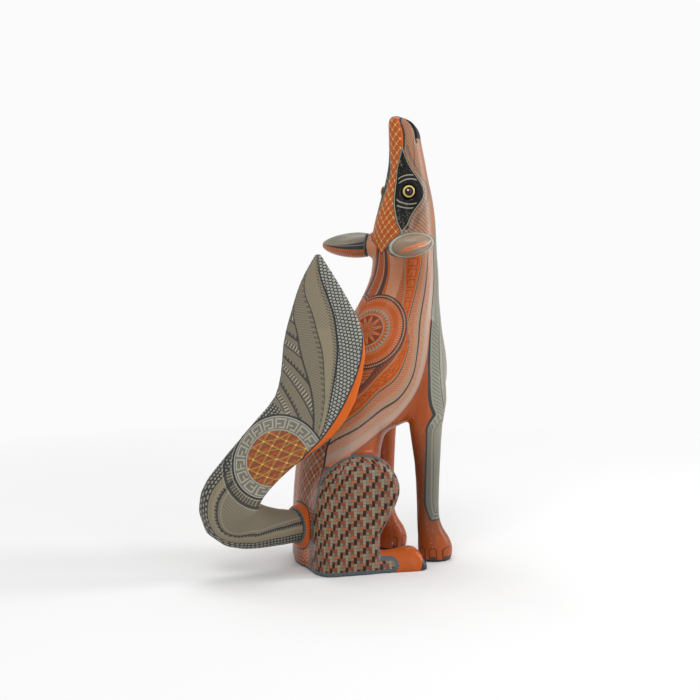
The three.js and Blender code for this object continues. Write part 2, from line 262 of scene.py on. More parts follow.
class Board:
    """One finish: a node tree and what is painted on it so far."""

    def __init__(self, name: str, ground: Paint) -> None:
        """Start a finish.

        Args:
            name: The material's name.
            ground: Its ground colour.
        """
        self.material = bpy.data.materials.new(name)
        self.material.use_nodes = True
        self.tree = self.material.node_tree
        self.tree.nodes.clear()
        self.colour: Shade = ground
        self.relief: Num | None = None
        self.fields: dict[str, Num] = {}

    def node(self, kind: str, settings: dict | None = None, values: dict | None = None) -> bpy.types.Node:
        """Add one node to this finish, as add_node does."""
        return add_node(self.tree, kind, settings, values)

    def field(self, name: str) -> Num:
        """The piece's own number of that name, read once.

        Args:
            name: What note() called it.

        Returns:
            The number.
        """
        if name not in self.fields:
            made = self.node("ShaderNodeAttribute", {"attribute_name": name})
            self.fields[name] = Num(self, made.outputs["Fac"])
        return self.fields[name]

    def place(self) -> tuple[Num, Num, Num]:
        """Where a point is.

        Returns:
            Forward, to the left and upward, in the carver's coordinates.
        """
        if "x" not in self.fields:
            at = self.node("ShaderNodeTexCoord").outputs["Object"]
            apart = self.node("ShaderNodeSeparateXYZ", None, {0: at})
            for key, name in enumerate("xyz"):
                self.fields[name] = Num(self, apart.outputs[key]) / MM - float(SHIFT[key])
        return self.fields["x"], self.fields["y"], self.fields["z"]

    def grain(self, scale: float, detail: float = 2.0, stretch: float = 1.0) -> Num:
        """Soft noise between 0 and 1.

        Args:
            scale: Blotches in a metre.
            detail: Octaves.
            stretch: How much longer the blotches are upwards.

        Returns:
            The noise.
        """
        at = self.node("ShaderNodeTexCoord").outputs["Object"]
        turned = self.node("ShaderNodeMapping", None, {"Vector": at, "Scale": (1, 1, 1 / stretch)})
        made = self.node("ShaderNodeTexNoise", None,
                         {"Vector": turned.outputs[0], "Scale": scale, "Detail": detail})
        return Num(self, made.outputs[0])

    def blend(self, mask: "Num | float", below: Shade, above: Shade) -> bpy.types.NodeSocket:
        """One colour over another.

        Args:
            mask: Where the second covers the first.
            below: The first.
            above: The second.

        Returns:
            The colour socket.
        """
        made = self.node("ShaderNodeMix", {"data_type": "RGBA"}, {0: mask, 6: below, 7: above})
        return made.outputs[2]

    def lay(self, mask: Num, above: Shade, strength: float = 1.0, raised: bool = False) -> None:
        """Paint over what is there.

        Args:
            mask: Where.
            above: What with.
            strength: How much of it covers.
            raised: Whether the stroke stands proud of the ground.
        """
        self.colour = self.blend(mask if strength == 1.0 else mask * strength, self.colour, above)
        if raised:
            self.relief = mask if self.relief is None else self.relief | mask

    def close(self, varnish: Varnish) -> bpy.types.Material:
        """Finish the tree with its varnished surface.

        Args:
            varnish: How it is closed.

        Returns:
            The material.
        """
        height = self.relief
        if varnish.fibre:
            fine = self.grain(*varnish.fibre) * 0.6
            height = fine if height is None else height * 0.5 + fine
        roughness: "Num | float" = varnish.roughness
        if varnish.wander:
            roughness = varnish.roughness + varnish.wander * self.grain(160, 2.0)
        values = {"Base Color": self.colour, "Roughness": roughness, "Coat Weight": varnish.coat,
                  "Coat Roughness": 0.22, "Specular IOR Level": 0.17}
        if height is not None:
            bump = self.node("ShaderNodeBump", None,
                             {"Strength": 0.35, "Distance": varnish.relief, "Height": height})
            values["Normal"] = bump.outputs[0]
        surface = self.node("ShaderNodeBsdfPrincipled", None, values)
        self.node("ShaderNodeOutputMaterial", None, {0: surface.outputs[0]})
        return self.material


# ---------------------------------------------------------------- strokes


def band(x: Num, low: "Num | float", high: "Num | float") -> Num:
    """One between two bounds."""
    return (x > low) * (x < high)


def line(x: Num, at: float, width: float) -> Num:
    """One within half a width of a place."""
    return abs(x - at) < width / 2


def stripes(x: Num, pitch: float, share: float) -> Num:
    """Repeated strokes that cover a share of each pitch."""
    return x.saw(pitch) < pitch * share


def dots(x: Num, y: Num, pitch: tuple[float, float], radius: float) -> Num:
    """A grid of round dots.

    Args:
        x: Along the rows.
        y: Across them.
        pitch: From one dot to the next along and across.
        radius: Of a dot.

    Returns:
        The mask.
    """
    return (x - pitch[0] / 2).fold(pitch[0]).reach(y.fold(pitch[1])) < radius


def teeth(x: Num, y: Num, pitch: float, height: float) -> Num:
    """Triangles that stand on y = 0, one to each pitch."""
    return y < x.fold(pitch) * (2 * height / pitch)


def glyph(x: Num, y: Num, pitch: float, height: float, width: float) -> Num:
    """A row of square hooks, between y = 0 and y = height.

    Args:
        x: Along the row.
        y: Across it.
        pitch: From one hook to the next.
        height: Of the row.
        width: Of the brush.

    Returns:
        The mask.
    """
    u = x.saw(pitch)
    frame_line = (abs(u - pitch * 0.42) > pitch * 0.42 - width) * band(u, 0.0, pitch * 0.84)
    top = y > height - width
    hook = line(y, height * 0.45, width) * (u > pitch * 0.35) * (u < pitch * 0.7)
    foot = (y < width) * (u < pitch * 0.5)
    return (frame_line | top | hook | foot) * band(y, 0.0, height) * (u < pitch * 0.84)


# ---------------------------------------------------------------- mesh work


def curve(stations: list[tuple[float, ...]], at: np.ndarray, column: int = 1) -> np.ndarray:
    """Read a smooth curve through given stations.

    Args:
        stations: Rows whose first number rises.
        at: Where to read it.
        column: Which number of the rows to read.

    Returns:
        The values, held level past both ends.
    """
    x = np.array([row[0] for row in stations], float)
    y = np.array([row[column] for row in stations], float)
    slope = np.gradient(y, x)
    k = np.clip(np.searchsorted(x, at) - 1, 0, len(x) - 2)
    step = x[k + 1] - x[k]
    t = np.clip((at - x[k]) / step, 0, 1)
    return ((1 + 2 * t) * (1 - t) ** 2 * y[k] + t * (1 - t) ** 2 * step * slope[k]
            + t * t * (3 - 2 * t) * y[k + 1] + t * t * (t - 1) * step * slope[k + 1])


def smooth_path(points: list[tuple[float, ...]], count: int) -> np.ndarray:
    """A smooth path through given points.

    Args:
        points: The points, in order.
        count: How many to return.

    Returns:
        That many points, evenly spaced along the path.
    """
    rows = np.array(points, float)
    chord = np.concatenate([[0], np.cumsum(np.linalg.norm(np.diff(rows, axis=0), axis=1))])
    fine = np.linspace(0, chord[-1], 8 * count)
    path = np.stack([curve([(c, v) for c, v in zip(chord, rows[:, k])], fine)
                     for k in range(rows.shape[1])], axis=1)
    run = np.concatenate([[0], np.cumsum(np.linalg.norm(np.diff(path, axis=0), axis=1))])
    even = np.linspace(0, run[-1], count)
    return np.stack([np.interp(even, run, path[:, k]) for k in range(path.shape[1])], axis=1)


class Chart:
    """A curved grid between guide curves that lie in a plane."""

    def __init__(self, guides: list[list[tuple[float, float]]], columns: int = 64, between: int = 8) -> None:
        """Lay the grid.

        Args:
            guides: The guide curves, in order, each from its start to its end.
            columns: Grid points along each.
            between: Grid steps from one guide to the next.
        """
        paths = np.array([smooth_path(g, columns) for g in guides])
        share = np.linspace(0, len(guides) - 1, between * (len(guides) - 1) + 1)
        k = np.clip(share.astype(int), 0, len(guides) - 2)
        t = (share - k)[:, None, None]
        self.grid = paths[k] * (1 - t) + paths[k + 1] * t
        self.share = share
        steps = np.linalg.norm(np.diff(self.grid, axis=1), axis=2)
        self.run = np.concatenate([np.zeros((len(share), 1)), np.cumsum(steps, axis=1)], axis=1)

    def locate(self, points: np.ndarray) -> tuple[np.ndarray, np.ndarray]:
        """Find points on the grid.

        Args:
            points: Points of the plane.

        Returns:
            How far across the guides each lies, 0 on the first and 1 on the next, and how far along.
        """
        flat = self.grid.reshape(-1, 2)
        near = np.concatenate([
            np.argmin(((part[:, None] - flat[None]) ** 2).sum(2), axis=1)
            for part in np.array_split(points, max(1, len(points) // 1500))])
        i, j = np.unravel_index(near, self.grid.shape[:2])
        across = np.gradient(self.grid, self.share, axis=0)[i, j]
        along = np.gradient(self.grid, axis=1)[i, j]
        off = points - self.grid[i, j]
        det = across[:, 0] * along[:, 1] - across[:, 1] * along[:, 0]
        ds = (off[:, 0] * along[:, 1] - off[:, 1] * along[:, 0]) / det
        dt = (across[:, 0] * off[:, 1] - across[:, 1] * off[:, 0]) / det
        pace = np.gradient(self.run, axis=1)[i, j]
        return self.share[i] + ds, self.run[i, j] + dt * pace


@dataclass
class CarvedPiece:
    """A CAD piece worked finer: its mesh remade in small even faces, eased and then carved."""

    node: str
    name: str
    body: str
    voxel: float
    passes: int
    slot: str = "painted_wood"

    def rough_out(self) -> bpy.types.Object:
        """Copy the CAD piece, close it and remake it in small even faces.

        Returns:
            The new object, in place.
        """
        work = bmesh.new()
        work.from_mesh(frame["nodes"][self.node].data)
        bmesh.ops.remove_doubles(work, verts=work.verts, dist=0.01 * MM)
        mesh = bpy.data.meshes.new(self.name)
        work.to_mesh(mesh)
        work.free()
        piece = bpy.data.objects.new(self.name, mesh)
        bpy.context.scene.collection.objects.link(piece)
        remesh = piece.modifiers.new("even faces", "REMESH")
        remesh.mode = "VOXEL"
        remesh.voxel_size = self.voxel * MM
        fine = bpy.data.meshes.new_from_object(
            piece.evaluated_get(bpy.context.evaluated_depsgraph_get()))
        piece.modifiers.clear()
        piece.data = fine
        bpy.data.meshes.remove(mesh)
        fine.name = self.name
        fine.materials.clear()
        return piece

    def ease(self, piece: bpy.types.Object, free: np.ndarray) -> None:
        """Sand the piece.

        Args:
            piece: The piece.
            free: Which vertices may move.
        """
        work = bmesh.new()
        work.from_mesh(piece.data)
        work.verts.ensure_lookup_table()
        verts = [v for v, move in zip(work.verts, free) if move]
        for _ in range(self.passes):
            bmesh.ops.smooth_vert(work, verts=verts, factor=0.5,
                                  use_axis_x=True, use_axis_y=True, use_axis_z=True)
        work.to_mesh(piece.data)
        work.free()

    def dress(self, piece: bpy.types.Object, material: bpy.types.Material) -> None:
        """Give the piece its finish and its place on the frame.

        Args:
            piece: The piece.
            material: Its finish.
        """
        piece.data.materials.append(material)
        piece.data.shade_smooth()
        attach(piece, self.body)
        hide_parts(self.node)
        LOG.info("%s: %d faces on %s", self.name, len(piece.data.polygons), self.body)


def places(piece: bpy.types.Object) -> np.ndarray:
    """Read where the piece's vertices are.

    Args:
        piece: The piece.

    Returns:
        Their places, in the carver's coordinates.
    """
    flat = np.zeros(len(piece.data.vertices) * 3, np.float32)
    piece.data.vertices.foreach_get("co", flat)
    return flat.reshape(-1, 3).astype(float) / MM - SHIFT


def facing(piece: bpy.types.Object) -> np.ndarray:
    """Read which way the piece's surface faces.

    Args:
        piece: The piece.

    Returns:
        The normal at each vertex.
    """
    flat = np.zeros(len(piece.data.vertices) * 3, np.float32)
    piece.data.vertex_normals.foreach_get("vector", flat)
    return flat.reshape(-1, 3).astype(float)


def move_to(piece: bpy.types.Object, points: np.ndarray) -> None:
    """Put the piece's vertices at these places, in the carver's coordinates."""
    piece.data.vertices.foreach_set("co", ((points + SHIFT) * MM).astype(np.float32).ravel())
    piece.data.update()


def note(piece: bpy.types.Object, name: str, values: np.ndarray) -> None:
    """Write one number for each vertex, which a finish reads by its name."""
    layer = piece.data.attributes.new(name, "FLOAT", "POINT")
    layer.data.foreach_set("value", values.astype(np.float32))


def level(degrees: float) -> np.ndarray:
    """The level direction at that bearing."""
    return np.array([math.cos(math.radians(degrees)), math.sin(math.radians(degrees)), 0.0])


# ---------------------------------------------------------------- the body


@dataclass
class Body(CarvedPiece):
    """The carved block: trunk, neck, head and legs.

    The guide curves are rows of height first, then what they give: the midline's forward place, the nape's
    inner and outer angle from the back, the bib's edge as such an angle, the half width of the face strip,
    the two sides of the almond and the lips' place. The flank's guides and the haunch are forward place and
    height. The rosette is its centre, the tongue the reach, height and radius of the haunch's painted toe,
    toes the middle, start and spacing of each paw's, and socket the radius and ends of the tail's bore.
    The cuts are how deep the knife goes, far_haunch is the far one's length to the near one's, and tile is
    one unit of the thigh's weave.
    """

    head_turn: float = 18.0
    turn_between: tuple[float, float] = (150.0, 245.0)
    midline: list[tuple[float, float]] = field(default_factory=lambda: [
        (0, -12), (85, -10), (100, -7.3), (108, -2.5), (116, 11), (126, 21.5), (138, 27.5), (150, 31),
        (166, 34.5), (183, 37), (199, 41), (215, 45), (231, 48), (277, 48), (307, 49.7), (336, 48),
        (352, 44.5), (358, 40)])
    nape_line: list[tuple[float, float, float]] = field(default_factory=lambda: [
        (180, 12, 30), (204, 12, 30), (223, 12, 26), (245, 8, 20), (262, 4, 14)])
    bib_edge: list[tuple[float, float]] = field(default_factory=lambda: [
        (112, 146), (118, 142), (128, 133), (138, 128), (156, 124), (183, 120), (219, 111), (245, 108),
        (270, 118), (300, 140), (330, 165), (345, 182)])
    face_strip: list[tuple[float, float]] = field(default_factory=lambda: [
        (247, -1), (250, 1.5), (259, 11), (267, 17), (277, 13), (287, 8.5), (299, 6), (315, 6), (330, 8),
        (346, 8), (354, 6), (358, 5)])
    almond: list[tuple[float, float, float]] = field(default_factory=lambda: [
        (266, 42, 42), (271, 36, 52), (278, 30, 61), (287, 23, 76), (299, 18, 90), (307, 17, 78),
        (315, 17, 60), (323, 24, 46), (331, 35, 36)])
    eye_centre: tuple[float, float] = (57.0, 297.5)
    lip_line: list[tuple[float, float]] = field(default_factory=lambda: [
        (318, -1), (330, 0), (340, 1), (350, 2), (358, 2)])
    rosette: tuple[float, float, float] = (3.0, 17.0, 188.0)
    flank: list[list[tuple[float, float]]] = field(default_factory=lambda: [
        [(30, 262), (30, 245), (29, 222), (27, 206), (29.5, 192), (31, 181), (23, 166), (10, 152), (1, 142),
         (-16, 129), (-32, 118)],
        [(45, 262), (43, 245), (38, 222), (34, 206), (31.5, 192), (34, 180), (33, 169), (26, 152), (10, 139),
         (-4, 125), (-22, 113), (-36, 104)],
        [(50, 262), (49, 245), (46, 220), (43, 197), (43, 175), (40, 152), (29, 135), (14, 126), (-5, 113),
         (-23, 104), (-36, 94)],
        [(60, 262), (59, 240), (57, 220), (55, 197), (51, 156), (44, 138), (24, 115), (-4, 97), (-31, 83),
         (-44, 76)]])
    haunch: list[tuple[float, float]] = field(default_factory=lambda: [
        (-70, 60), (-56, 80), (-36, 91), (-20, 94), (-4, 94.5), (12, 89.5), (23, 76), (25, 61), (17, 42),
        (8.5, 27), (7, 12), (7, -8)])
    tongue: tuple[float, float, float] = (13.5, 6.5, 6.5)
    toes: tuple[tuple[float, float, float], ...] = (
        (-45.0, 31.0, 6.0), (45.0, 31.0, 6.0), (-25.0, 68.0, 7.0), (25.0, 50.0, 7.0))
    socket: tuple[float, float, float] = (12.5, -16.0, 2.0)
    toe_cut: float = 1.1
    lip_cut: float = 1.6
    far_haunch: float = 0.92
    neck_top: float = 262.0
    bib_top: float = 345.0
    leg_top: float = 118.0
    claw_tip: float = 47.5
    tile: float = 2.42

    def straighten(self, at: np.ndarray) -> tuple[np.ndarray, np.ndarray, np.ndarray]:
        """Undo the twist of the neck.

        Args:
            at: Points in the carver's coordinates.

        Returns:
            Forward of the midline, to the left of it, and the midline's own forward place.
        """
        low, high = self.turn_between
        t = np.clip((at[:, 2] - low) / (high - low), 0, 1)
        turn = np.radians(self.head_turn) * t * t * (3 - 2 * t)
        middle = curve(self.midline, at[:, 2])
        dx = at[:, 0] - middle
        return (dx * np.cos(turn) + at[:, 1] * np.sin(turn),
                at[:, 1] * np.cos(turn) - dx * np.sin(turn), middle)

    def thigh(self, at: np.ndarray) -> np.ndarray:
        """How far inside the painted thigh each point lies.

        Args:
            at: Points in the carver's coordinates.

        Returns:
            Millimetres from the edge of the thigh's border, less than nothing outside it.
        """
        edge = smooth_path(self.haunch, 160)
        z, beside = at[:, 2], np.abs(at[:, 1])
        inside = np.zeros(len(at))
        for sign, stretch in ((-1, 1.0), (1, self.far_haunch)):
            rim = edge.copy()
            rim[:, 0] = 24 - (24 - rim[:, 0]) * stretch
            pick = at[:, 1] * sign > 0
            gap = at[pick][:, None, [0, 2]] - rim[None]
            near = np.argmin((gap ** 2).sum(2), axis=1)
            along = np.gradient(rim, axis=0)[near]
            off = gap[np.arange(len(near)), near]
            cross = along[:, 0] * off[:, 1] - along[:, 1] * off[:, 0]
            inside[pick] = -np.sign(cross) * np.linalg.norm(off, axis=1)
        # towards the rump the border keeps off the midline, a little more higher up and forward
        rear = beside - 24.0 - 0.13 * z - np.clip(at[:, 0] + 36, 0, 30) * 0.1
        inside = np.minimum(np.minimum(inside, rear), z - 0.3)
        reach, height, radius = self.tongue
        toe = radius - np.hypot(np.maximum(at[:, 0] - reach, 0), z - height)
        return np.maximum(inside, np.where((at[:, 0] > 0) & (beside > 30), toe, -20.0))

    def carve(self, piece: bpy.types.Object) -> None:
        """Cut the toes of the four paws and the gape between the lips.

        Args:
            piece: The eased body.
        """
        at = places(piece)
        out = facing(piece)
        fore, _, _ = self.straighten(at)
        depth = np.zeros(len(at))
        for middle, from_x, spacing in self.toes:
            toe = np.abs(np.abs(at[:, 1] - middle) - spacing / 2)
            near = ((at[:, 0] > from_x) & (at[:, 2] < 17) & (np.abs(at[:, 1] - middle) < 12))
            depth += near * self.toe_cut * np.exp(-toe ** 2) * np.clip((at[:, 0] - from_x) / 5, 0, 1)
        lips = np.exp(-((fore - curve(self.lip_line, at[:, 2])) / 1.3) ** 2)
        depth += self.lip_cut * lips * np.clip((at[:, 2] - 334) / 8, 0, 1)
        move_to(piece, at - out * depth[:, None])

    def chart(self, piece: bpy.types.Object) -> None:
        """Write the numbers that the painting is laid out by.

        Args:
            piece: The carved body.
        """
        at = places(piece)
        fore, side, middle = self.straighten(at)
        z = at[:, 2]
        beside = np.abs(side)
        away = np.degrees(np.arctan2(beside, -fore))
        for name, values in (("ahead", fore + middle), ("fore", fore), ("side", side), ("away", away),
                             ("face", curve(self.face_strip, z) - beside),
                             ("lips", fore - curve(self.lip_line, z))):
            note(piece, name, values)
        nape = [curve(self.nape_line, z, column) for column in (1, 2)]
        note(piece, "nape", np.clip(away / nape[0], 0, 1)
             + np.clip((away - nape[0]) / (nape[1] - nape[0]), 0, 1) + (away > nape[1]) * 1.0)
        # below the chest the bib goes on as a strip down the front of each foreleg
        leg = np.minimum(np.where(side < 0, at[:, 0] - 57.8, at[:, 0] - 40.0) + 6.0,
                         np.minimum(np.abs(at[:, 1]) - 21.0, (z - 27.0) * 0.6))
        leg -= np.clip(52.0 - z, 0, 26) ** 2 / 70
        share = np.clip((z - 104) / 16, 0, 1)
        note(piece, "bib", (away - curve(self.bib_edge, z)) * 0.55 * share + leg * (1 - share))
        eye_left, eye_right = (curve(self.almond, z, column) for column in (1, 2))
        note(piece, "almond", np.where((z < 264) | (z > 334), -9.0,
                                       0.36 * np.minimum(away - eye_left, eye_right - away)))
        brow = np.hypot((away - self.eye_centre[0]) * 0.25, z - self.eye_centre[1])
        note(piece, "brow", np.where(np.abs(z - self.eye_centre[1]) < 5.5, 0.0, brow))
        sweep, run = Chart(self.flank).locate(np.stack([fore + middle, z], axis=1))
        note(piece, "sweep", sweep)
        note(piece, "run", run)
        note(piece, "haunch", self.thigh(at))
        # where the thigh's surface turns inwards the weave goes on round it, so its tiles keep their size
        round_over = 50.0 - np.clip(beside, 20, 50)
        note(piece, "tile_run", at[:, 0] + round_over * np.clip((at[:, 0] + 12) / 14, -1, 1))
        note(piece, "tile_rise", z + round_over * np.clip((z - 62) / 22, 0, 1))

    def paint(self) -> bpy.types.Material:
        """Paint the block from the ground colour up.

        Returns:
            The finish.
        """
        board = Board("painted coyote body", Paint.RUST)
        board.lay(board.grain(70, 3.0), Paint.BRICK, 0.35)
        self.paint_neck(board)
        self.paint_flank(board)
        self.paint_rosette(board)
        self.paint_rump(board)
        self.paint_bib(board)
        self.paint_haunch(board)
        self.paint_head(board)
        self.paint_feet(board)
        return board.close(BODY_VARNISH)

    def paint_neck(self, board: Board) -> None:
        """Nape line and the soft hatching beside it.

        Args:
            board: The piece's finish.
        """
        _, _, z = board.place()
        nape, away, sweep = board.field("nape"), board.field("away"), board.field("sweep")
        neck = band(z, 188.0, self.neck_top) * (sweep < 0.0)
        board.lay(neck * (nape > 2.0) * (away < 44), Paint.SALMON, 0.55)
        board.lay(neck * stripes(z + away * 0.12, 1.7, 0.5) * (nape > 2.0), Paint.SALMON, 0.4, raised=True)
        stem = band(z, 200.0, self.neck_top)
        board.lay(stem * band(nape, 1.0, 1.5), Paint.CHARCOAL, 0.9)
        board.lay(stem * line(nape, 0.8, 0.22), Paint.SAGE, 0.8, raised=True)
        board.lay(stem * line(nape, 1.68, 0.2) * stripes(z, 1.8, 0.55), Paint.ORANGE, raised=True)
        board.lay(stem * line(nape, 1.93, 0.14), Paint.SAGE, 0.9, raised=True)

    def paint_flank(self, board: Board) -> None:
        """The long bands that come down the neck and sweep back along the side.

        Args:
            board: The piece's finish.
        """
        _, _, z = board.place()
        sweep, run = board.field("sweep"), board.field("run")
        flank = band(z, 80.0, self.neck_top) * (board.field("bib") < 0.0)
        wedge = flank * (z < 176.0) * band(sweep, -0.5, 0.0)
        board.lay(wedge, Paint.BRICK, 0.7)
        board.lay(wedge * teeth(run, (sweep + 0.5) * 12.0, 3.0, 5.0), Paint.CHARCOAL, 0.8)
        board.lay(flank * (z < 176.0) * line(sweep, -0.5, 0.07), Paint.CHARCOAL, 0.8, raised=True)
        leaf = flank * band(sweep, 0.0, 1.0)
        board.lay(leaf, Paint.AMBER)
        board.lay(leaf * glyph(run, sweep * 13.0 - 2.4, 8.5, 8.0, 1.1), Paint.BRICK, 0.7, True)
        edges = line(sweep, 0.04, 0.07) | line(sweep, 0.96, 0.07)
        board.lay(flank * edges, Paint.KHAKI, raised=True)
        board.lay(flank * line(sweep, 1.03, 0.06), Paint.CHARCOAL)
        brown = flank * band(sweep, 1.06, 2.0)
        board.lay(brown, Paint.SALMON, 0.55)
        board.lay(brown * stripes(run + sweep * 3, 2.0, 0.45) * (sweep < 1.5), Paint.BROWN, 0.4, True)
        board.lay(brown * teeth(run + sweep * 4, (1.95 - sweep) * 12.0, 3.0, 5.5), Paint.SAGE, 0.75, True)
        board.lay(flank * line(sweep, 2.0, 0.09), Paint.CHARCOAL)
        board.lay(flank * line(sweep, 2.1, 0.05), Paint.SAGE, 0.8, raised=True)
        pale = flank * band(sweep, 2.12, 3.0)
        board.lay(pale, Paint.SALMON, 0.6)
        board.lay(pale, Paint.ASH, 0.3)
        board.lay(pale * stripes(run + sweep * 7, 2.0, 0.5) * (sweep < 2.5), Paint.RUST, 0.4, raised=True)
        board.lay(pale * band(sweep, 2.45, 2.85), Paint.ASH, 0.3)
        board.lay(pale * line(sweep, 2.5, 0.05), Paint.SAGE, 0.8, raised=True)
        board.lay(flank * line(sweep, 2.92, 0.08), Paint.ORANGE, 0.5)
        board.lay(flank * line(sweep, 3.0, 0.08), Paint.SLATE)

    def paint_rosette(self, board: Board) -> None:
        """The wheel on the shoulder and the ripples below it.

        Args:
            board: The piece's finish.
        """
        _, _, z = board.place()
        ahead, side = board.field("ahead"), board.field("side")
        dx, dy, dz = ahead - self.rosette[0], abs(side) - self.rosette[1], z - self.rosette[2]
        level_run = dx * 0.86 + dy * 0.51
        r = (level_run.reach(dz)).reach(dx * 0.51 - dy * 0.86)
        turn = dz.angle(level_run)
        below = band(z, 104.0, self.rosette[2]) * (board.field("sweep") < -0.55) * (r > 32.5)
        board.lay(below * stripes(r, 2.4, 0.4), Paint.SALMON, 0.35, raised=True)
        board.lay(below * line(r.saw(12.0), 6.0, 0.9), Paint.KHAKI, 0.7, raised=True)
        wheel = (r < 32) * (abs(side) > 0.8)
        board.lay(wheel, Paint.RUST)
        ring = wheel * band(r, 18.5, 28.5)
        board.lay(ring, Paint.ORANGE, 0.3)
        board.lay(ring * stripes(turn, 4.0, 0.4) * (abs(r - 23.5) > 2.0), Paint.SALMON, 0.5, raised=True)
        board.lay(wheel * band(r, 28.5, 32.0), Paint.BROWN)
        board.lay(wheel * (line(r, 28.8, 0.8) | line(r, 31.6, 0.8)), Paint.CHARCOAL)
        board.lay(wheel * line(r, 30.2, 0.9) * stripes(turn, 3.0, 0.6), Paint.SALMON, raised=True)
        rays = band(r, 13.5, 18.8) * teeth(turn, (18.8 - r) * 3.0, 9.0, 12.0)
        board.lay(wheel * rays, Paint.SAGE, 1.0, True)
        board.lay(wheel * line(r, 14.6, 1.0), Paint.ORANGE)
        board.lay(wheel * line(r, 13.6, 0.8), Paint.SAGE, raised=True)
        disc = wheel * (r < 13.2)
        board.lay(disc, Paint.BRICK)
        board.lay(disc * teeth(turn, (r - 3.0) * 3.6, 30.0, 36.0), Paint.SALMON, 0.9, True)
        board.lay(disc * teeth(turn, (r - 1.4) * 3.6, 30.0, 33.0), Paint.RUST)
        bead = ((turn - 15.0).fold(30.0) * r * (math.pi / 180)).reach(r - 11.0)
        board.lay(disc * (bead < 1.1), Paint.ORANGE)

    def paint_rump(self, board: Board) -> None:
        """The lattice above the tail, the ring round its seat and the scrolls below it.

        Args:
            board: The piece's finish.
        """
        x, y, z = board.place()
        side, away = board.field("side"), board.field("away")
        beside = abs(side)
        zone = band(z, 50.0, 108.0) * (away < 50)
        board.lay(zone, Paint.BRICK, 0.8)
        one, two = beside * 1.1 - z * 0.8, beside * 1.1 + z * 0.8
        board.lay(zone * ((one.fold(4.6) < 0.35) | (two.fold(4.6) < 0.35)), Paint.SALMON, 0.5, raised=True)
        board.lay(zone * ((one.fold(9.2) < 0.7) | (two.fold(9.2) < 0.7)), Paint.KHAKI, raised=True)
        board.lay(zone * dots(one + 4.6, two, (9.2, 9.2), 1.3), Paint.STONE, raised=True)
        board.lay(zone * (beside < 4.0), Paint.RUST)
        board.lay(zone * (beside < 3.2) * stripes(z, 1.7, 0.5), Paint.SALMON, 0.8, raised=True)
        board.lay(band(z, 50.0, 104.0) * line(away, 50.0, 2.5), Paint.CHARCOAL)
        low = (z < 50) * (away < 75)
        ring = (z - 13.0).reach(beside - 16.0)
        board.lay(low * stripes(ring, 2.6, 0.4), Paint.BROWN)
        board.lay(low * (ring < 8.0) * stripes(ring, 2.6, 0.35), Paint.SALMON, raised=True)
        board.lay(low * dots(beside, z, (3.0, 3.0), 0.42) * (ring > 8.5), Paint.IVORY, 0.8, True)
        out = level(TAIL_BEARING)
        px, py, pz = x - float(TAIL_SEAT[0]), y - float(TAIL_SEAT[1]), z - float(TAIL_SEAT[2])
        along = px * float(out[0]) + py * float(out[1])
        across = py * float(out[0]) - px * float(out[1])
        r = across.reach(pz)
        seat = band(along, -9.0, 3.0) * (x < -30)
        board.lay(seat * (r < 19.6), Paint.CHARCOAL)
        board.lay(seat * (r < 18.4), Paint.RUST)
        board.lay(seat * (r < 18.0) * stripes(pz.angle(across), 8.0, 0.5), Paint.ORANGE, raised=True)
        board.lay(seat * (r < 14.2), Paint.SLATE)
        board.lay(z < 2.0, Paint.CHARCOAL)

    def paint_bib(self, board: Board) -> None:
        """The grey throat, chest and fronts of the legs.

        Args:
            board: The piece's finish.
        """
        _, _, z = board.place()
        bib = board.field("bib")
        zone = (bib > 0.0) * (z < self.bib_top)
        board.lay(zone, Paint.SAGE)
        board.lay(zone * line(bib, 6.0, 0.8), Paint.CHARCOAL, 0.7)
        board.lay(zone * stripes(z * 0.8 + bib, 2.6, 0.4) * band(bib, 1.4, 5.2), Paint.SLATE, 0.6, True)
        inner = stripes(z * 0.8 - bib * 1.2, 2.4, 0.4) * band(bib, 7.0, 12.5)
        board.lay(zone * inner, Paint.TAUPE, 0.9, True)
        board.lay(zone * line(bib, 13.2, 0.8), Paint.CHARCOAL, 0.7)
        board.lay(zone * stripes(z * 0.8 + bib * 0.6, 2.8, 0.35) * (bib > 14.2), Paint.SLATE, 0.5, True)
        leg = zone * (z < 112.0)
        comb = band(bib, 0.6, 4.0) * stripes(z * 0.9 - bib * 1.4, 1.9, 0.45)
        board.lay(leg * comb, Paint.CHARCOAL, 0.6, True)
        board.lay(leg * line(bib, 4.4, 0.6), Paint.STONE, 0.7, raised=True)
        board.lay((z < self.bib_top) * line(bib, 0.0, 1.3), Paint.CHARCOAL)

    def paint_haunch(self, board: Board) -> None:
        """The woven tiles of the thigh inside their slate border: upright blacks and level rusts.

        Args:
            board: The piece's finish.
        """
        x, _, z = board.place()
        inside = board.field("haunch")
        zone = inside > 3.0
        u, v = board.field("tile_run") / self.tile, board.field("tile_rise") / self.tile
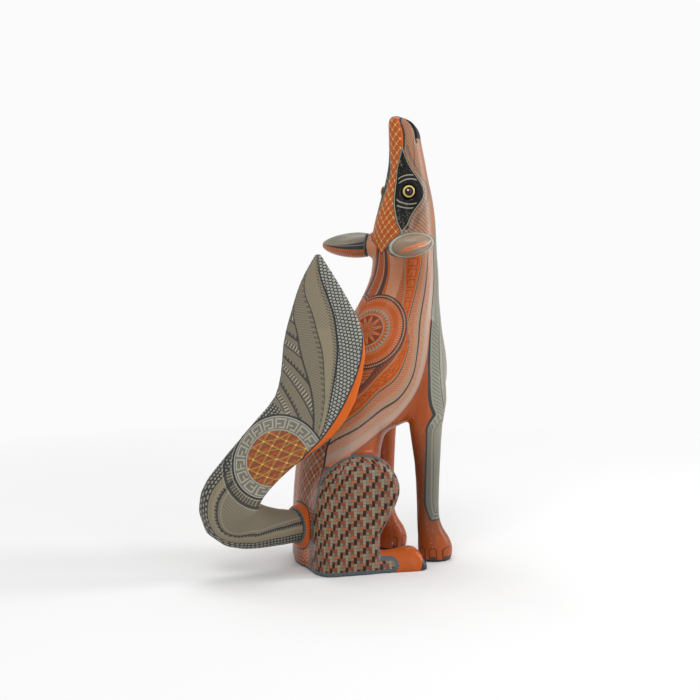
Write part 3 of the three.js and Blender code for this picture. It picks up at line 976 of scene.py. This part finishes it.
        # which of six picks a tile is, stepping up one with each column, and which of three columns
        pick = (u.floor() - v.floor() + 0.5).saw(6.0)
        column = (u.floor() + 0.5).saw(3.0)
        first, second, third = column < 1.0, band(column, 1.0, 2.0), column > 2.0
        board.lay(zone, Paint.KHAKI)
        board.lay(zone, Paint.BROWN, 0.3)
        board.lay(zone * ((u + v).wave(23.0) * (u - v).wave(31.0) > 0.1), Paint.MAUVE, 0.25)
        board.lay(zone * third, Paint.STONE, 0.35)
        rust = (first * band(pick, 1.0, 2.0)) | (second * band(pick, 2.0, 3.0)) | (second * (pick < 1.0))
        board.lay(zone * rust, Paint.BRICK, 0.9)
        board.lay(zone * ((second * band(pick, 4.0, 5.0)) | (third * (pick > 5.0))), Paint.RUST, 0.75)
        board.lay(zone * second * band(pick, 3.0, 4.0), Paint.MAUVE)
        board.lay(zone * ((v.fold(1.0) < 0.09) | (u.fold(1.0) < 0.09)), Paint.BROWN, 0.6)
        black = (first * ((pick > 5.0) | (pick < 1.0))) | (third * (pick < 2.0))
        board.lay(zone * black, Paint.BLACK, 0.97)
        board.lay(band(inside, 0.0, 3.2), Paint.SLATE)
        board.lay(band(inside, -1.8, 0.0) * (x > -2.0) * band(z, 15.0, 62.0), Paint.ORANGE)

    def paint_feet(self, board: Board) -> None:
        """Orange hind feet, the claws, specks on the bare legs low down, and painted shade on the near legs.

        Args:
            board: The piece's finish.
        """
        x, y, z = board.place()
        bare = board.field("haunch") < 0.0
        beside = abs(y)
        foot = (x > 5.0) * (z < 24.0) * (beside > 36.5) * bare
        board.lay(foot * (x < self.claw_tip), Paint.ORANGE)
        board.lay(foot * (x < self.claw_tip), Paint.BRICK, 0.4)
        board.lay(foot * band(x, 37.0 + z * 0.35, self.claw_tip) * (z < 13.0), Paint.CHARCOAL)
        seams = band(x, 28.0, 37.0 + z * 0.35) * line(abs(beside - 45.0), 3.0, 0.7)
        board.lay(foot * seams, Paint.KHAKI, 1.0, True)
        legs = (z < self.leg_top) * (x > 12.0) * bare * (foot < 0.5)
        # painted shade: the near legs (the -y side) are darkened with charcoal, and with brown where bare,
        # fully from about 38 to 78 mm up and fading to nothing at 8 and 118 mm
        fade = ((self.leg_top - z) / 40.0).least(((z - 8.0) / 30.0).least(1.0))
        shade = (y < 0.0) * fade.math("MAXIMUM", 0.0)
        board.lay(legs * shade, Paint.CHARCOAL, 0.36)
        skin = legs * (board.field("bib") < -0.6)
        board.lay(skin * shade, Paint.BROWN, 0.42)
        paw = (x > 44.0) * (z < 20.0) * (beside < 40.0)
        toe = (x * 0.6 + beside * 0.8).fold(9.0).reach((z - 9.0).math("MAXIMUM", 0.0))
        board.lay(paw * line(toe, 2.6, 0.8), Paint.BLACK, 0.7, raised=True)
        board.lay(paw * (z < 4.5) * (toe < 2.0), Paint.CHARCOAL, 0.9)
        board.lay(skin * (board.grain(1000, 0.0) > 0.8), Paint.IVORY, 0.55)

    def paint_head(self, board: Board) -> None:
        """Face strip, eye almond, muzzle and lips.

        Args:
            board: The piece's finish.
        """
        _, _, z = board.place()
        face, almond, bib = board.field("face"), board.field("almond"), board.field("bib")
        side, away, lips = board.field("side"), board.field("away"), board.field("lips")
        head = (z > 247.0) * (away < 120.0)
        cheek = (z > 258.0) * (face < 0.0) * (bib < 0.0)
        board.lay(cheek, Paint.SALMON, 0.5)
        board.lay(cheek * band(away, 76.0, 104.0), Paint.ASH, 0.22)
        board.lay(cheek * (almond > -16.0), Paint.KHAKI, 0.3)
        rear, front = cheek * (away < 96), cheek * (away > 96)
        board.lay(rear * stripes(z * 0.7 + away * 0.25, 2.4, 0.5), Paint.BROWN, 0.5, raised=True)
        board.lay(front * stripes(z * 0.9 - away * 0.2, 1.9, 0.45), Paint.TAUPE, 0.5, raised=True)
        board.lay(cheek * line(away - z * 0.55, -106.0, 2.6), Paint.CHARCOAL, 0.6)
        board.lay(cheek * line(almond, -7.0, 0.8) * (z > 296.0), Paint.CHARCOAL, 0.8, raised=True)
        lashes = band(almond, -7.0, -3.4) * stripes(z - away * 0.3, 2.0, 0.5)
        board.lay(cheek * lashes, Paint.SLATE, 0.6, True)
        board.lay(cheek * line(almond, -3.4, 0.6), Paint.SAGE, 0.8, raised=True)
        strip = head * (face > 0.0)
        board.lay(strip, Paint.RUST)
        board.lay(strip, Paint.ORANGE, 0.25)
        one, two = abs(side) * 0.95 - z * 0.84, abs(side) * 0.95 + z * 0.84
        board.lay(strip * ((one.fold(6.2) < 0.32) | (two.fold(6.2) < 0.32)), Paint.CREAM, 0.6, raised=True)
        board.lay(strip * dots(one + 3.1, two, (6.2, 6.2), 0.6), Paint.IVORY, 0.7, raised=True)
        board.lay(strip * dots(one, two, (6.2, 6.2), 0.7), Paint.BROWN, 0.8)
        board.lay(head * line(face, 0.5, 1.1), Paint.ORANGE)
        board.lay(head * line(face, -0.6, 1.1), Paint.CHARCOAL)
        board.lay(almond > -1.2, Paint.CHARCOAL)
        board.lay(almond > -0.7, Paint.SAGE, raised=True)
        board.lay(almond > 0.3, Paint.BLACK)
        arcs = board.field("brow")
        board.lay((almond > 2.0) * (line(arcs, 10.0, 0.9) | line(arcs, 13.2, 0.9)), Paint.STONE, 0.9, True)
        board.lay((almond > 1.0) * (arcs > 15.5) * (board.grain(1200, 0.0) > 0.74), Paint.STONE, 0.75)
        board.lay((z > 336.0) * line(lips, 0.0, 1.6), Paint.BLACK)
        board.lay(band(z, 340.0, 354.0) * (lips > 0.0), Paint.BLACK)
        board.lay(z > 356.8, Paint.CHARCOAL)

    def build(self) -> None:
        """Make the body."""
        piece = self.rough_out()
        at = places(piece)
        out = level(TAIL_BEARING)
        rel = at - TAIL_SEAT
        along = rel @ out
        radius = np.linalg.norm(rel - along[:, None] * out, axis=1)
        bore, deepest, mouth = self.socket
        self.ease(piece, ~((radius < bore) & (along > deepest) & (along < mouth)))
        self.carve(piece)
        self.chart(piece)
        self.dress(piece, self.paint())


# ---------------------------------------------------------------- the tail


@dataclass
class Tail(CarvedPiece):
    """The upswept tail: a thick root that bends up into a broad leaf.

    The spine's rows are a point and the half width there, the ribs' a run along the spine and where the
    three ribs cross the leaf, from -1 on its outer edge to 1 on its inner one. Nothing within seat_reach
    of the seat is sanded, and below root_top the root has more rounds of it.
    """

    bearing: float = -127.0
    spine: list[tuple[float, float, float, float]] = field(default_factory=lambda: [
        (-51, -8.5, 33.5, 12.8), (-68, -13, 35, 15), (-90, -18, 39, 19.5), (-106, -22, 47, 24.5),
        (-109, -26, 61, 24.2), (-101.5, -29, 76, 21.8), (-87, -32, 93, 22), (-72, -34, 107.5, 23.5),
        (-54, -36, 124.5, 26.5), (-43, -39, 147, 30.5), (-38, -41, 174.5, 33), (-39, -42, 193.5, 29.5),
        (-40.5, -42, 207.5, 24), (-42, -42, 221.5, 17.8), (-42.8, -42, 235, 10.5), (-43, -42, 248.5, 2)])
    ribs: list[tuple[float, float, float, float]] = field(default_factory=lambda: [
        (150, 0.80, 0.85, 0.88), (162, 0.44, 0.63, 0.72), (172, 0.2, 0.48, 0.6), (181, 0.0, 0.36, 0.5),
        (188, -0.15, 0.26, 0.45), (197, -0.31, 0.16, 0.41), (213, -0.5, 0.05, 0.39),
        (230, -0.64, -0.09, 0.40), (246, -0.88, -0.25, 0.42), (262, -0.98, -0.62, 0.33),
        (278, -0.99, -0.9, 0.14), (288, -0.99, -0.95, 0.0)])
    medallion: tuple[float, float, float] = (-78.1, -46.0, 94.8)
    swell: float = 2.2
    seat_reach: float = 19.0
    root_top: float = 110.0
    root_rounds: int = 3

    def chart(self, piece: bpy.types.Object) -> None:
        """Write where each point lies along the spine and across it, and fill out the inner edge.

        Args:
            piece: The eased tail.
        """
        at = places(piece)
        path = smooth_path(self.spine, 360)
        centre, half = path[:, :3], path[:, 3]
        run = np.concatenate([[0], np.cumsum(np.linalg.norm(np.diff(centre, axis=0), axis=1))])
        ahead = np.gradient(centre, axis=0)
        ahead /= np.linalg.norm(ahead, axis=1)[:, None]
        across = np.cross(ahead, level(self.bearing))
        across /= np.linalg.norm(across, axis=1)[:, None]
        near = []
        for part in np.array_split(at, max(1, len(at) // 2000)):
            off = part[:, None] - centre[None]
            lead = (off * ahead).sum(2)
            chord = (off * across).sum(2)
            past = np.maximum(np.abs(chord) - half, 0)
            near.append(np.argmin(np.hypot(3 * lead, past) + 0.05 * np.linalg.norm(off, axis=2), axis=1))
        k = np.concatenate(near)
        off = at - centre[k]
        s = run[k] + (off * ahead[k]).sum(1)
        c = (off * across[k]).sum(1)
        h = np.interp(s, run, half)
        for name, values in (("spine", s), ("chord", c), ("half", h)):
            note(piece, name, values)
        knots = np.stack([-np.ones(len(s)), curve(self.ribs, s), curve(self.ribs, s, 2),
                          curve(self.ribs, s, 3), np.ones(len(s))], axis=1)
        share = c / np.maximum(h, 2.0)
        rib = np.zeros(len(s))
        for j in range(4):
            width = np.maximum(knots[:, j + 1] - knots[:, j], 0.01)
            rib += np.clip((share - knots[:, j]) / width, 0, 1)
        note(piece, "rib", rib)
        swell = self.swell * np.clip(c / h, 0, 1) ** 4 * np.sin(math.pi * np.clip((s - 140) / 72, 0, 1)) ** 2
        move_to(piece, at + across[k] * swell[:, None])

    def paint(self) -> bpy.types.Material:
        """Paint the tail.

        Returns:
            The finish.
        """
        board = Board("painted coyote tail", Paint.TAUPE)
        s, c, h = (board.field(n) for n in ("spine", "chord", "half"))
        board.lay(board.grain(90, 3.0), Paint.KHAKI, 0.6)
        blade = s > 150.0
        self.paint_blade(board, blade)
        self.paint_root(board, s < 152.0)
        self.paint_medallion(board)
        rise = ((s - 138.0) * (math.pi / 86)).math("SINE") * 4.6
        board.lay(band(s, 112.0, 224.0) * (c > h - 1.4 - rise), Paint.CHARCOAL)
        board.lay(band(s, 112.0, 224.0) * (c > h - 0.4 - rise), Paint.ORANGE)
        return board.close(TAIL_VARNISH)

    def paint_blade(self, board: Board, blade: Num) -> None:
        """The four fields of the leaf, parted by its ribs.

        Args:
            board: The tail's finish.
            blade: Where the leaf is.
        """
        s, c, h, rib = (board.field(n) for n in ("spine", "chord", "half", "rib"))
        woven = blade * (rib > 3.0)
        board.lay(woven, Paint.CHARCOAL)
        slant = s + c * 0.22
        row = (slant / 2.3).floor()
        dash = (slant.saw(2.3) < 1.6) * ((c * 1.1 - slant * 0.45 + row * 1.45).saw(2.9) < 2.1)
        board.lay(woven * dash, Paint.ASH, 0.95, raised=True)
        plain = blade * band(rib, 2.0, 3.0)
        board.lay(plain, Paint.KHAKI)
        board.lay(plain * (rib > 2.74) * stripes(s + c * 0.5, 2.2, 0.45), Paint.CHARCOAL, 0.7, True)
        board.lay(plain * (s > 232) * stripes(s - c * 0.7, 2.2, 0.35), Paint.TAUPE, 0.8, True)
        scratch = blade * band(rib, 1.0, 2.0)
        board.lay(scratch, Paint.TAUPE)
        board.lay(scratch * stripes(s + c * 0.15, 1.9, 0.45), Paint.KHAKI, 0.7, True)
        board.lay(scratch * (rib > 1.78) * stripes(s + c * 0.15, 3.8, 0.3), Paint.CHARCOAL, 0.6)
        steps = blade * (rib < 1.0)
        lane = s + c * 0.7
        within = lane.saw(13.0)
        odd = lane.saw(26.0) > 13.0
        board.lay(steps, Paint.TAUPE)
        board.lay(steps * (within > 2.0) * stripes(lane, 2.1, 0.4), Paint.KHAKI, 0.7, True)
        ladder = steps * odd * band(within, 2.6, 8.0)
        board.lay(ladder, Paint.CHARCOAL, 0.75)
        board.lay(ladder * stripes(c - s * 0.35, 2.9, 0.55), Paint.STONE, 0.9, True)
        board.lay(steps * (1 - odd) * teeth(c, within - 1.6, 3.0, 3.4) * (within > 1.6), Paint.CHARCOAL, 0.8)
        board.lay(steps * band(within, 0.4, 1.6), Paint.CHARCOAL, 0.85, raised=True)
        board.lay(blade * line(rib, 3.0, 0.1), Paint.CHARCOAL, raised=True)
        board.lay(blade * line(rib, 2.0, 0.06), Paint.CHARCOAL, 0.85, raised=True)
        board.lay(blade * line(rib, 1.0, 0.09), Paint.CHARCOAL, 0.85, raised=True)
        board.lay(blade * ((c + h) < 1.6), Paint.SLATE)

    def paint_root(self, board: Board, root: Num) -> None:
        """The bands that run from the collar round the bend.

        Args:
            board: The tail's finish.
            root: Where the root is.
        """
        s, c, h = (board.field(n) for n in ("spine", "chord", "half"))
        edge = (c + h) * (24.0 / 22.0)
        board.lay(root, Paint.TAUPE)
        board.lay(root * stripes(s + edge * 0.4, 1.9, 0.45) * (edge > 21.0), Paint.KHAKI, 0.65, True)
        board.lay(root * band(edge, 12.0, 19.0), Paint.KHAKI)
        board.lay(root * band(edge, 12.0, 16.0) * stripes(s + edge * 0.9, 1.8, 0.4), Paint.TAUPE, 0.8, True)
        board.lay(root * band(edge, 0.0, 12.0), Paint.CHARCOAL)
        lit = dots(s + (edge / 2.9).floor() * 1.3, edge - 1.45, (2.6, 2.9), 0.95)
        board.lay(root * lit * (edge < 11.2), Paint.SAGE, raised=True)
        board.lay(root * band(edge, 17.5, 21.0) * teeth(s, 21.0 - edge, 1.9, 3.0), Paint.CHARCOAL, 0.9, True)
        board.lay(root * line(edge, 21.2, 0.9), Paint.CHARCOAL, raised=True)
        board.lay(root * line(edge, 24.5, 0.8), Paint.STONE, 0.6, raised=True)

    def paint_medallion(self, board: Board) -> None:
        """The round medallion on the bend and the comb that hugs it.

        Args:
            board: The piece's finish.
        """
        x, y, z = board.place()
        face = level(self.bearing)
        run = level(self.bearing + 90)
        dx, dy, dz = (v - float(m) for v, m in zip((x, y, z), self.medallion))
        u = dx * float(run[0]) + dy * float(run[1])
        front = dx * float(face[0]) + dy * float(face[1])
        r = u.reach(dz)
        turn = dz.angle(u)
        side_on = abs(front) < 40.0
        hem = side_on * (board.field("spine") < 118.0)
        board.lay(hem * (r < 38.4) * stripes(turn, 3.4, 0.5), Paint.CHARCOAL, 0.8, True)
        board.lay(hem * band(r, 38.4, 40.6), Paint.CHARCOAL, 0.9)
        board.lay(hem * line(r, 41.2, 0.7), Paint.STONE, 0.6, raised=True)
        board.lay(hem * line(r, 33.8, 0.7), Paint.STONE, 0.7, raised=True)
        disc = (r < 33.0) * side_on
        board.lay(disc, Paint.CHARCOAL)
        ring = disc * band(r, 21.5, 31.4)
        board.lay(ring, Paint.TAUPE)
        arc = turn * (math.pi / 180 * 26)
        board.lay(ring * glyph(arc, r - 22.8, 163.4 / 18, 7.2, 1.1), Paint.ASH, 0.85, raised=True)
        board.lay(disc * (line(r, 21.6, 0.9) | line(r, 31.2, 0.8)), Paint.ASH, 0.85, raised=True)
        core = (r < 21.0) * side_on
        board.lay(core, Paint.BRICK)
        a = u * 0.94 + dz * 0.34
        b = dz * 0.94 - u * 0.34
        one, two = (a + b).saw(10.4), (a - b).saw(10.4)
        board.lay(core * (one < two), Paint.ORANGE, 0.45)
        board.lay(core, Paint.KHAKI, 0.15)
        board.lay(core * (line(one, 3.0, 0.7) | line(two, 7.4, 0.7)), Paint.BROWN, 0.8, raised=True)
        bow = b + a.wave(20.8) * 0.9
        weave = ((a + b).fold(10.4) < 0.42) | ((a - b).fold(10.4) < 0.42) | (bow.fold(7.35) < 0.32)
        board.lay(core * weave, Paint.GOLD, 0.9, raised=True)
        board.lay(core * dots(a + b + 5.2, a - b, (10.4, 10.4), 0.9), Paint.CREAM, 0.8, raised=True)

    def build(self) -> None:
        """Make the tail."""
        piece = self.rough_out()
        at = places(piece)
        free = np.linalg.norm(at - TAIL_SEAT, axis=1) > self.seat_reach
        self.ease(piece, free)
        for _ in range(self.root_rounds):
            self.ease(piece, free & (at[:, 2] < self.root_top))
        self.chart(piece)
        self.dress(piece, self.paint())


# ---------------------------------------------------------------- the ears


@dataclass
class Ear(CarvedPiece):
    """A pegged ear, a pointed leaf with a hollowed face.

    lean is which way its face opens, open_from where that starts across the leaf, and split the height at
    which its two ground colours meet.
    """

    bearing: float = 251.0
    roll: float = 10.0
    root: tuple[float, float, float] = (48.0, 0.0, 255.0)
    seat: float = 30.0
    lean: float = 1.0
    open_from: float = -99.0
    split: float = -1.0

    def axes(self) -> tuple[np.ndarray, np.ndarray, np.ndarray]:
        """The ear's own directions.

        Returns:
            Outward, across the leaf and square to it.
        """
        out = level(self.bearing)
        turned = Matrix.Rotation(math.radians(self.roll), 3, Vector(out))
        up = np.array(turned @ Vector((0, 0, 1)))
        return out, np.cross(up, out), up

    def paint(self) -> bpy.types.Material:
        """Paint the ear.

        Returns:
            The finish.
        """
        board = Board(f"painted {self.name}", Paint.TAUPE)
        out, across, up = (board.field(n) for n in ("ear_out", "ear_across", "ear_up"))
        board.lay(board.grain(110, 3.0), Paint.KHAKI, 0.5)
        board.lay(stripes(out + up, 2.0, 0.4), Paint.STONE, 0.3, True)
        board.lay((up > self.split + 3.6) * stripes(out * 0.9 - up, 1.9, 0.5), Paint.CHARCOAL, 0.4, True)
        board.lay(up < self.split, Paint.RUST)
        board.lay((up < self.split) * stripes(out, 1.8, 0.5), Paint.SALMON, 0.35, True)
        board.lay(abs(up - self.split - 0.5) < 3.2 - out * 0.09, Paint.CHARCOAL)
        board.lay(line(up, 2.4, 0.7) | line(up, -3.6, 0.7) | (up > 8.2), Paint.SAGE, 0.6, True)
        ring = (across / 19.0).reach(up / 10.2)
        tip = (out > 14.0) * (across > self.open_from if self.lean > 0 else across < self.open_from)
        board.lay(tip * (ring > 0.93), Paint.CHARCOAL)
        board.lay(tip * band(ring, 0.8, 0.93), Paint.SAGE, raised=True)
        board.lay(tip * line(ring, 0.875, 0.035), Paint.IVORY, 0.5, raised=True)
        face = tip * (ring < 0.8)
        board.lay(face, Paint.TAUPE)
        board.lay(face * board.grain(140, 2.0), Paint.SALMON, 0.5)
        streaks = stripes(up * 0.9 + across * (0.16 * self.lean), 1.5, 0.45)
        board.lay(face * streaks, Paint.KHAKI, 0.55, True)
        board.lay(face * line(ring, 0.79, 0.04), Paint.CHARCOAL, 0.7)
        toward = across * self.lean
        slope = up + 1.6 - toward * 0.12
        sliver = face * ((toward - 0.5).reach(slope * 6.0) < 10.5)
        board.lay(sliver, Paint.SALMON)
        board.lay(sliver * (abs(slope) < 1.2), Paint.ORANGE, 0.6)
        # painted highlight: an ivory arc on one side of the tip's face, standing in for light on the rim
        painted_highlight = line((toward - 6.0).reach((up - 3.0) * 1.9), 9.5, 0.9)
        board.lay(face * painted_highlight * (toward > 4.0), Paint.IVORY, 0.65, True)
        board.lay(out < 1.6, Paint.SLATE)
        return board.close(EAR_VARNISH)

    def build(self) -> None:
        """Make the ear."""
        piece = self.rough_out()
        out, across, up = self.axes()
        rel = places(piece) - np.array(self.root)
        reach = rel @ out - self.seat
        self.ease(piece, reach > 1.2)
        rel = places(piece) - np.array(self.root)
        note(piece, "ear_out", rel @ out - self.seat)
        note(piece, "ear_across", rel @ across)
        note(piece, "ear_up", rel @ up)
        self.dress(piece, self.paint())


# ---------------------------------------------------------------- the eyes and the pegs


@dataclass
class Eye:
    """A glassy domed eye on a short stem."""

    node: str
    name: str
    bearing: float
    root: tuple[float, float, float] = (48.0, 0.0, 297.5)
    from_axis: float = 17.5
    radius: float = 5.2
    dome: float = 2.6
    rim: float = 0.3
    stem: float = 4.0
    steps: int = 10

    def paint(self) -> bpy.types.Material:
        """Paint the iris, the pupil and a painted highlight on it.

        Returns:
            The finish.
        """
        board = Board(f"glossy {self.name}", Paint.CREAM)
        across, up = board.field("eye_across"), board.field("eye_up")
        r = across.reach(up)
        board.lay(stripes(up.angle(across), 12.0, 0.4) * (r > 3.2), Paint.GOLD, 0.5)
        board.lay(r < 3.6, Paint.BROWN)
        board.lay(r < 3.3, Paint.BLACK)
        # painted highlight: an ivory dot off the pupil's centre, standing in for a reflection on the glossy
        # dome
        board.lay((across + 0.9).reach(up - 1.0) < 0.75, Paint.IVORY)
        board.lay(r > 4.75, Paint.BROWN)
        return board.close(EYE_GLAZE)

    def build(self) -> None:
        """Turn the dome on its axis and set it in the socket."""
        out = level(self.bearing)
        work = bmesh.new()
        outline = [Vector((0, 0, -self.stem)), Vector((self.radius, 0, -self.stem)),
                   Vector((self.radius, 0, -self.rim))]
        for k in range(1, self.steps + 1):
            a = math.radians(90 * k / self.steps)
            outline.append(Vector((self.radius * math.cos(a), 0, self.dome * math.sin(a))))
        verts = [work.verts.new(p) for p in outline]
        edges = [work.edges.new(pair) for pair in zip(verts, verts[1:])]
        bmesh.ops.spin(work, geom=verts + edges, cent=(0, 0, 0), axis=(0, 0, 1), angle=math.tau,
                       steps=48, use_merge=True, use_duplicate=False)
        bmesh.ops.remove_doubles(work, verts=work.verts, dist=1e-3)
        across = Vector(np.cross((0, 0, 1), out))
        basis = Matrix((across, Vector((0, 0, 1)), Vector(out))).transposed()
        home = Vector(np.array(self.root) + out * self.from_axis + SHIFT)
        layers = {key: work.verts.layers.float.new(key) for key in ("eye_across", "eye_up")}
        for v in work.verts:
            v[layers["eye_across"]], v[layers["eye_up"]] = v.co.x, v.co.y
            v.co = (home + basis @ v.co) * MM
        bmesh.ops.recalc_face_normals(work, faces=work.faces)
        mesh = bpy.data.meshes.new(self.name)
        work.to_mesh(mesh)
        work.free()
        mesh.shade_smooth()
        piece = bpy.data.objects.new(self.name, mesh)
        bpy.context.scene.collection.objects.link(piece)
        mesh.materials.append(self.paint())
        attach(piece, "carving")
        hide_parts(self.node)
        LOG.info("%s on carving", self.name)


@dataclass
class Pegs:
    """The bare dowels, which stay as the CAD made them."""

    nodes: tuple[str, ...] = ("tail_peg", "right_ear_peg", "left_ear_peg")

    def build(self) -> None:
        """Give the dowels their bare wood."""
        board = Board("bare softwood", Paint.IVORY)
        board.lay(board.grain(500, 4.0, 6.0), Paint.SALMON, 0.7)
        board.lay(board.grain(60, 2.0, 3.0), Paint.GOLD, 0.35)
        material = board.close(BARE_DOWEL)
        for name in self.nodes:
            dowel = frame["nodes"][name]
            dowel.data.materials.clear()
            dowel.data.materials.append(material)
            LOG.info("%s kept from the frame", name)


# ---------------------------------------------------------------- the studio


@dataclass
class Studio:
    """Pale floor, soft light and the camera.

    The camera's place is in the carver's coordinates, and the floor fades into the room between two
    distances in millimetres. Lamps are in metres.
    """

    bearing: float = -22.0
    distance: float = 990.0
    height: float = 256.0
    aim: float = 171.0
    lens: float = 63.6
    sensor: float = 36.0
    far_limit: float = 20.0
    room_light: float = 0.61
    floor_radius: float = 9.0
    floor_white: float = 0.79
    fade: tuple[float, float] = (250.0, 800.0)

    def build(self) -> None:
        """Set the floor, the lights and the camera."""
        scene = bpy.context.scene
        scene.view_settings.view_transform = "Standard"
        self.floor()
        self.room()
        self.lights()
        camera = bpy.data.objects.new("camera", bpy.data.cameras.new("camera"))
        camera.data.lens = self.lens
        camera.data.sensor_width = self.sensor
        camera.data.clip_end = self.far_limit
        across = math.radians(self.bearing)
        camera.location = (Vector((math.sin(across) * self.distance, -math.cos(across) * self.distance,
                                   self.height)) + Vector(SHIFT)) * MM
        drop = math.atan2(self.height - self.aim, self.distance)
        camera.rotation_euler = Euler((math.pi / 2 - drop, 0, across))
        scene.collection.objects.link(camera)
        scene.camera = camera

    def floor(self) -> None:
        """A wide pale disc that fades into the white of the room."""
        work = bmesh.new()
        bmesh.ops.create_circle(work, cap_ends=True, segments=96, radius=self.floor_radius)
        mesh = bpy.data.meshes.new("floor")
        work.to_mesh(mesh)
        work.free()
        piece = bpy.data.objects.new("floor", mesh)
        bpy.context.scene.collection.objects.link(piece)
        board = Board("pale floor", Paint.IVORY)
        x, y, _ = board.place()
        near, gone = self.fade
        far = board.node("ShaderNodeMapRange", None,
                         {0: x.reach(y), 1: near, 2: gone, 3: 0.0, 4: 1.0}).outputs[0]
        matte = board.node("ShaderNodeBsdfDiffuse", None, {"Color": (*[self.floor_white] * 3, 1.0)})
        glow = board.node("ShaderNodeEmission", None, {"Color": ROOM_WHITE})
        both = board.node("ShaderNodeMixShader", None, {0: far, 1: matte.outputs[0], 2: glow.outputs[0]})
        board.node("ShaderNodeOutputMaterial", None, {0: both.outputs[0]})
        mesh.materials.append(board.material)

    def room(self) -> None:
        """A white room, brighter to the eye than it is as a light."""
        world = bpy.data.worlds.new("room")
        bpy.context.scene.world = world
        world.use_nodes = True
        tree = world.node_tree
        tree.nodes.clear()
        seen = add_node(tree, "ShaderNodeLightPath").outputs["Is Camera Ray"]
        strength = add_node(tree, "ShaderNodeMapRange", None, {0: seen, 3: self.room_light, 4: 1.0})
        walls = add_node(tree, "ShaderNodeBackground", None, {0: ROOM_WHITE, 1: strength.outputs[0]})
        add_node(tree, "ShaderNodeOutputWorld", None, {0: walls.outputs[0]})

    def lights(self) -> None:
        """Soft boxes, aimed at the middle of the figure."""
        middle = Vector((0, 0, 0.18))
        for name, at, size, power in (("key", (-0.7, -1.0, 1.6), (0.9, 0.9), 10.8),
                                      ("strip", (0.3, -1.3, 0.5), (0.14, 0.9), 2.4),
                                      ("side", (1.3, -0.35, 0.6), (0.35, 1.1), 10.0),
                                      ("top", (0.1, 0.5, 1.7), (0.9, 0.9), 9.2)):
            lamp = bpy.data.lights.new(name, "AREA")
            lamp.shape = "RECTANGLE"
            lamp.size, lamp.size_y = size
            lamp.energy = power
            holder = bpy.data.objects.new(name, lamp)
            holder.location = at
            holder.rotation_euler = (middle - Vector(at)).to_track_quat("-Z", "Y").to_euler()
            bpy.context.scene.collection.objects.link(holder)


def main() -> None:
    """Build the coyote piece by piece, then the studio."""
    logging.basicConfig(level=logging.INFO, format="%(message)s")
    Body("body", "carved_body", "carving", voxel=1.25, passes=5).build()
    Tail("tail", "carved_tail", "tail", voxel=1.0, passes=6).build()
    Ear("right_ear", "carved_right_ear", "right_ear", voxel=0.8, passes=4).build()
    Ear("left_ear", "carved_left_ear", "left_ear", voxel=0.8, passes=4, bearing=145.0, roll=-10.0,
        lean=-1.0, open_from=-3.0, split=1.2).build()
    Eye("right_eye", "set_right_eye", 255.0).build()
    Eye("left_eye", "set_left_eye", 141.0).build()
    Pegs().build()
    Studio().build()


if __name__ == "__main__":
    main()
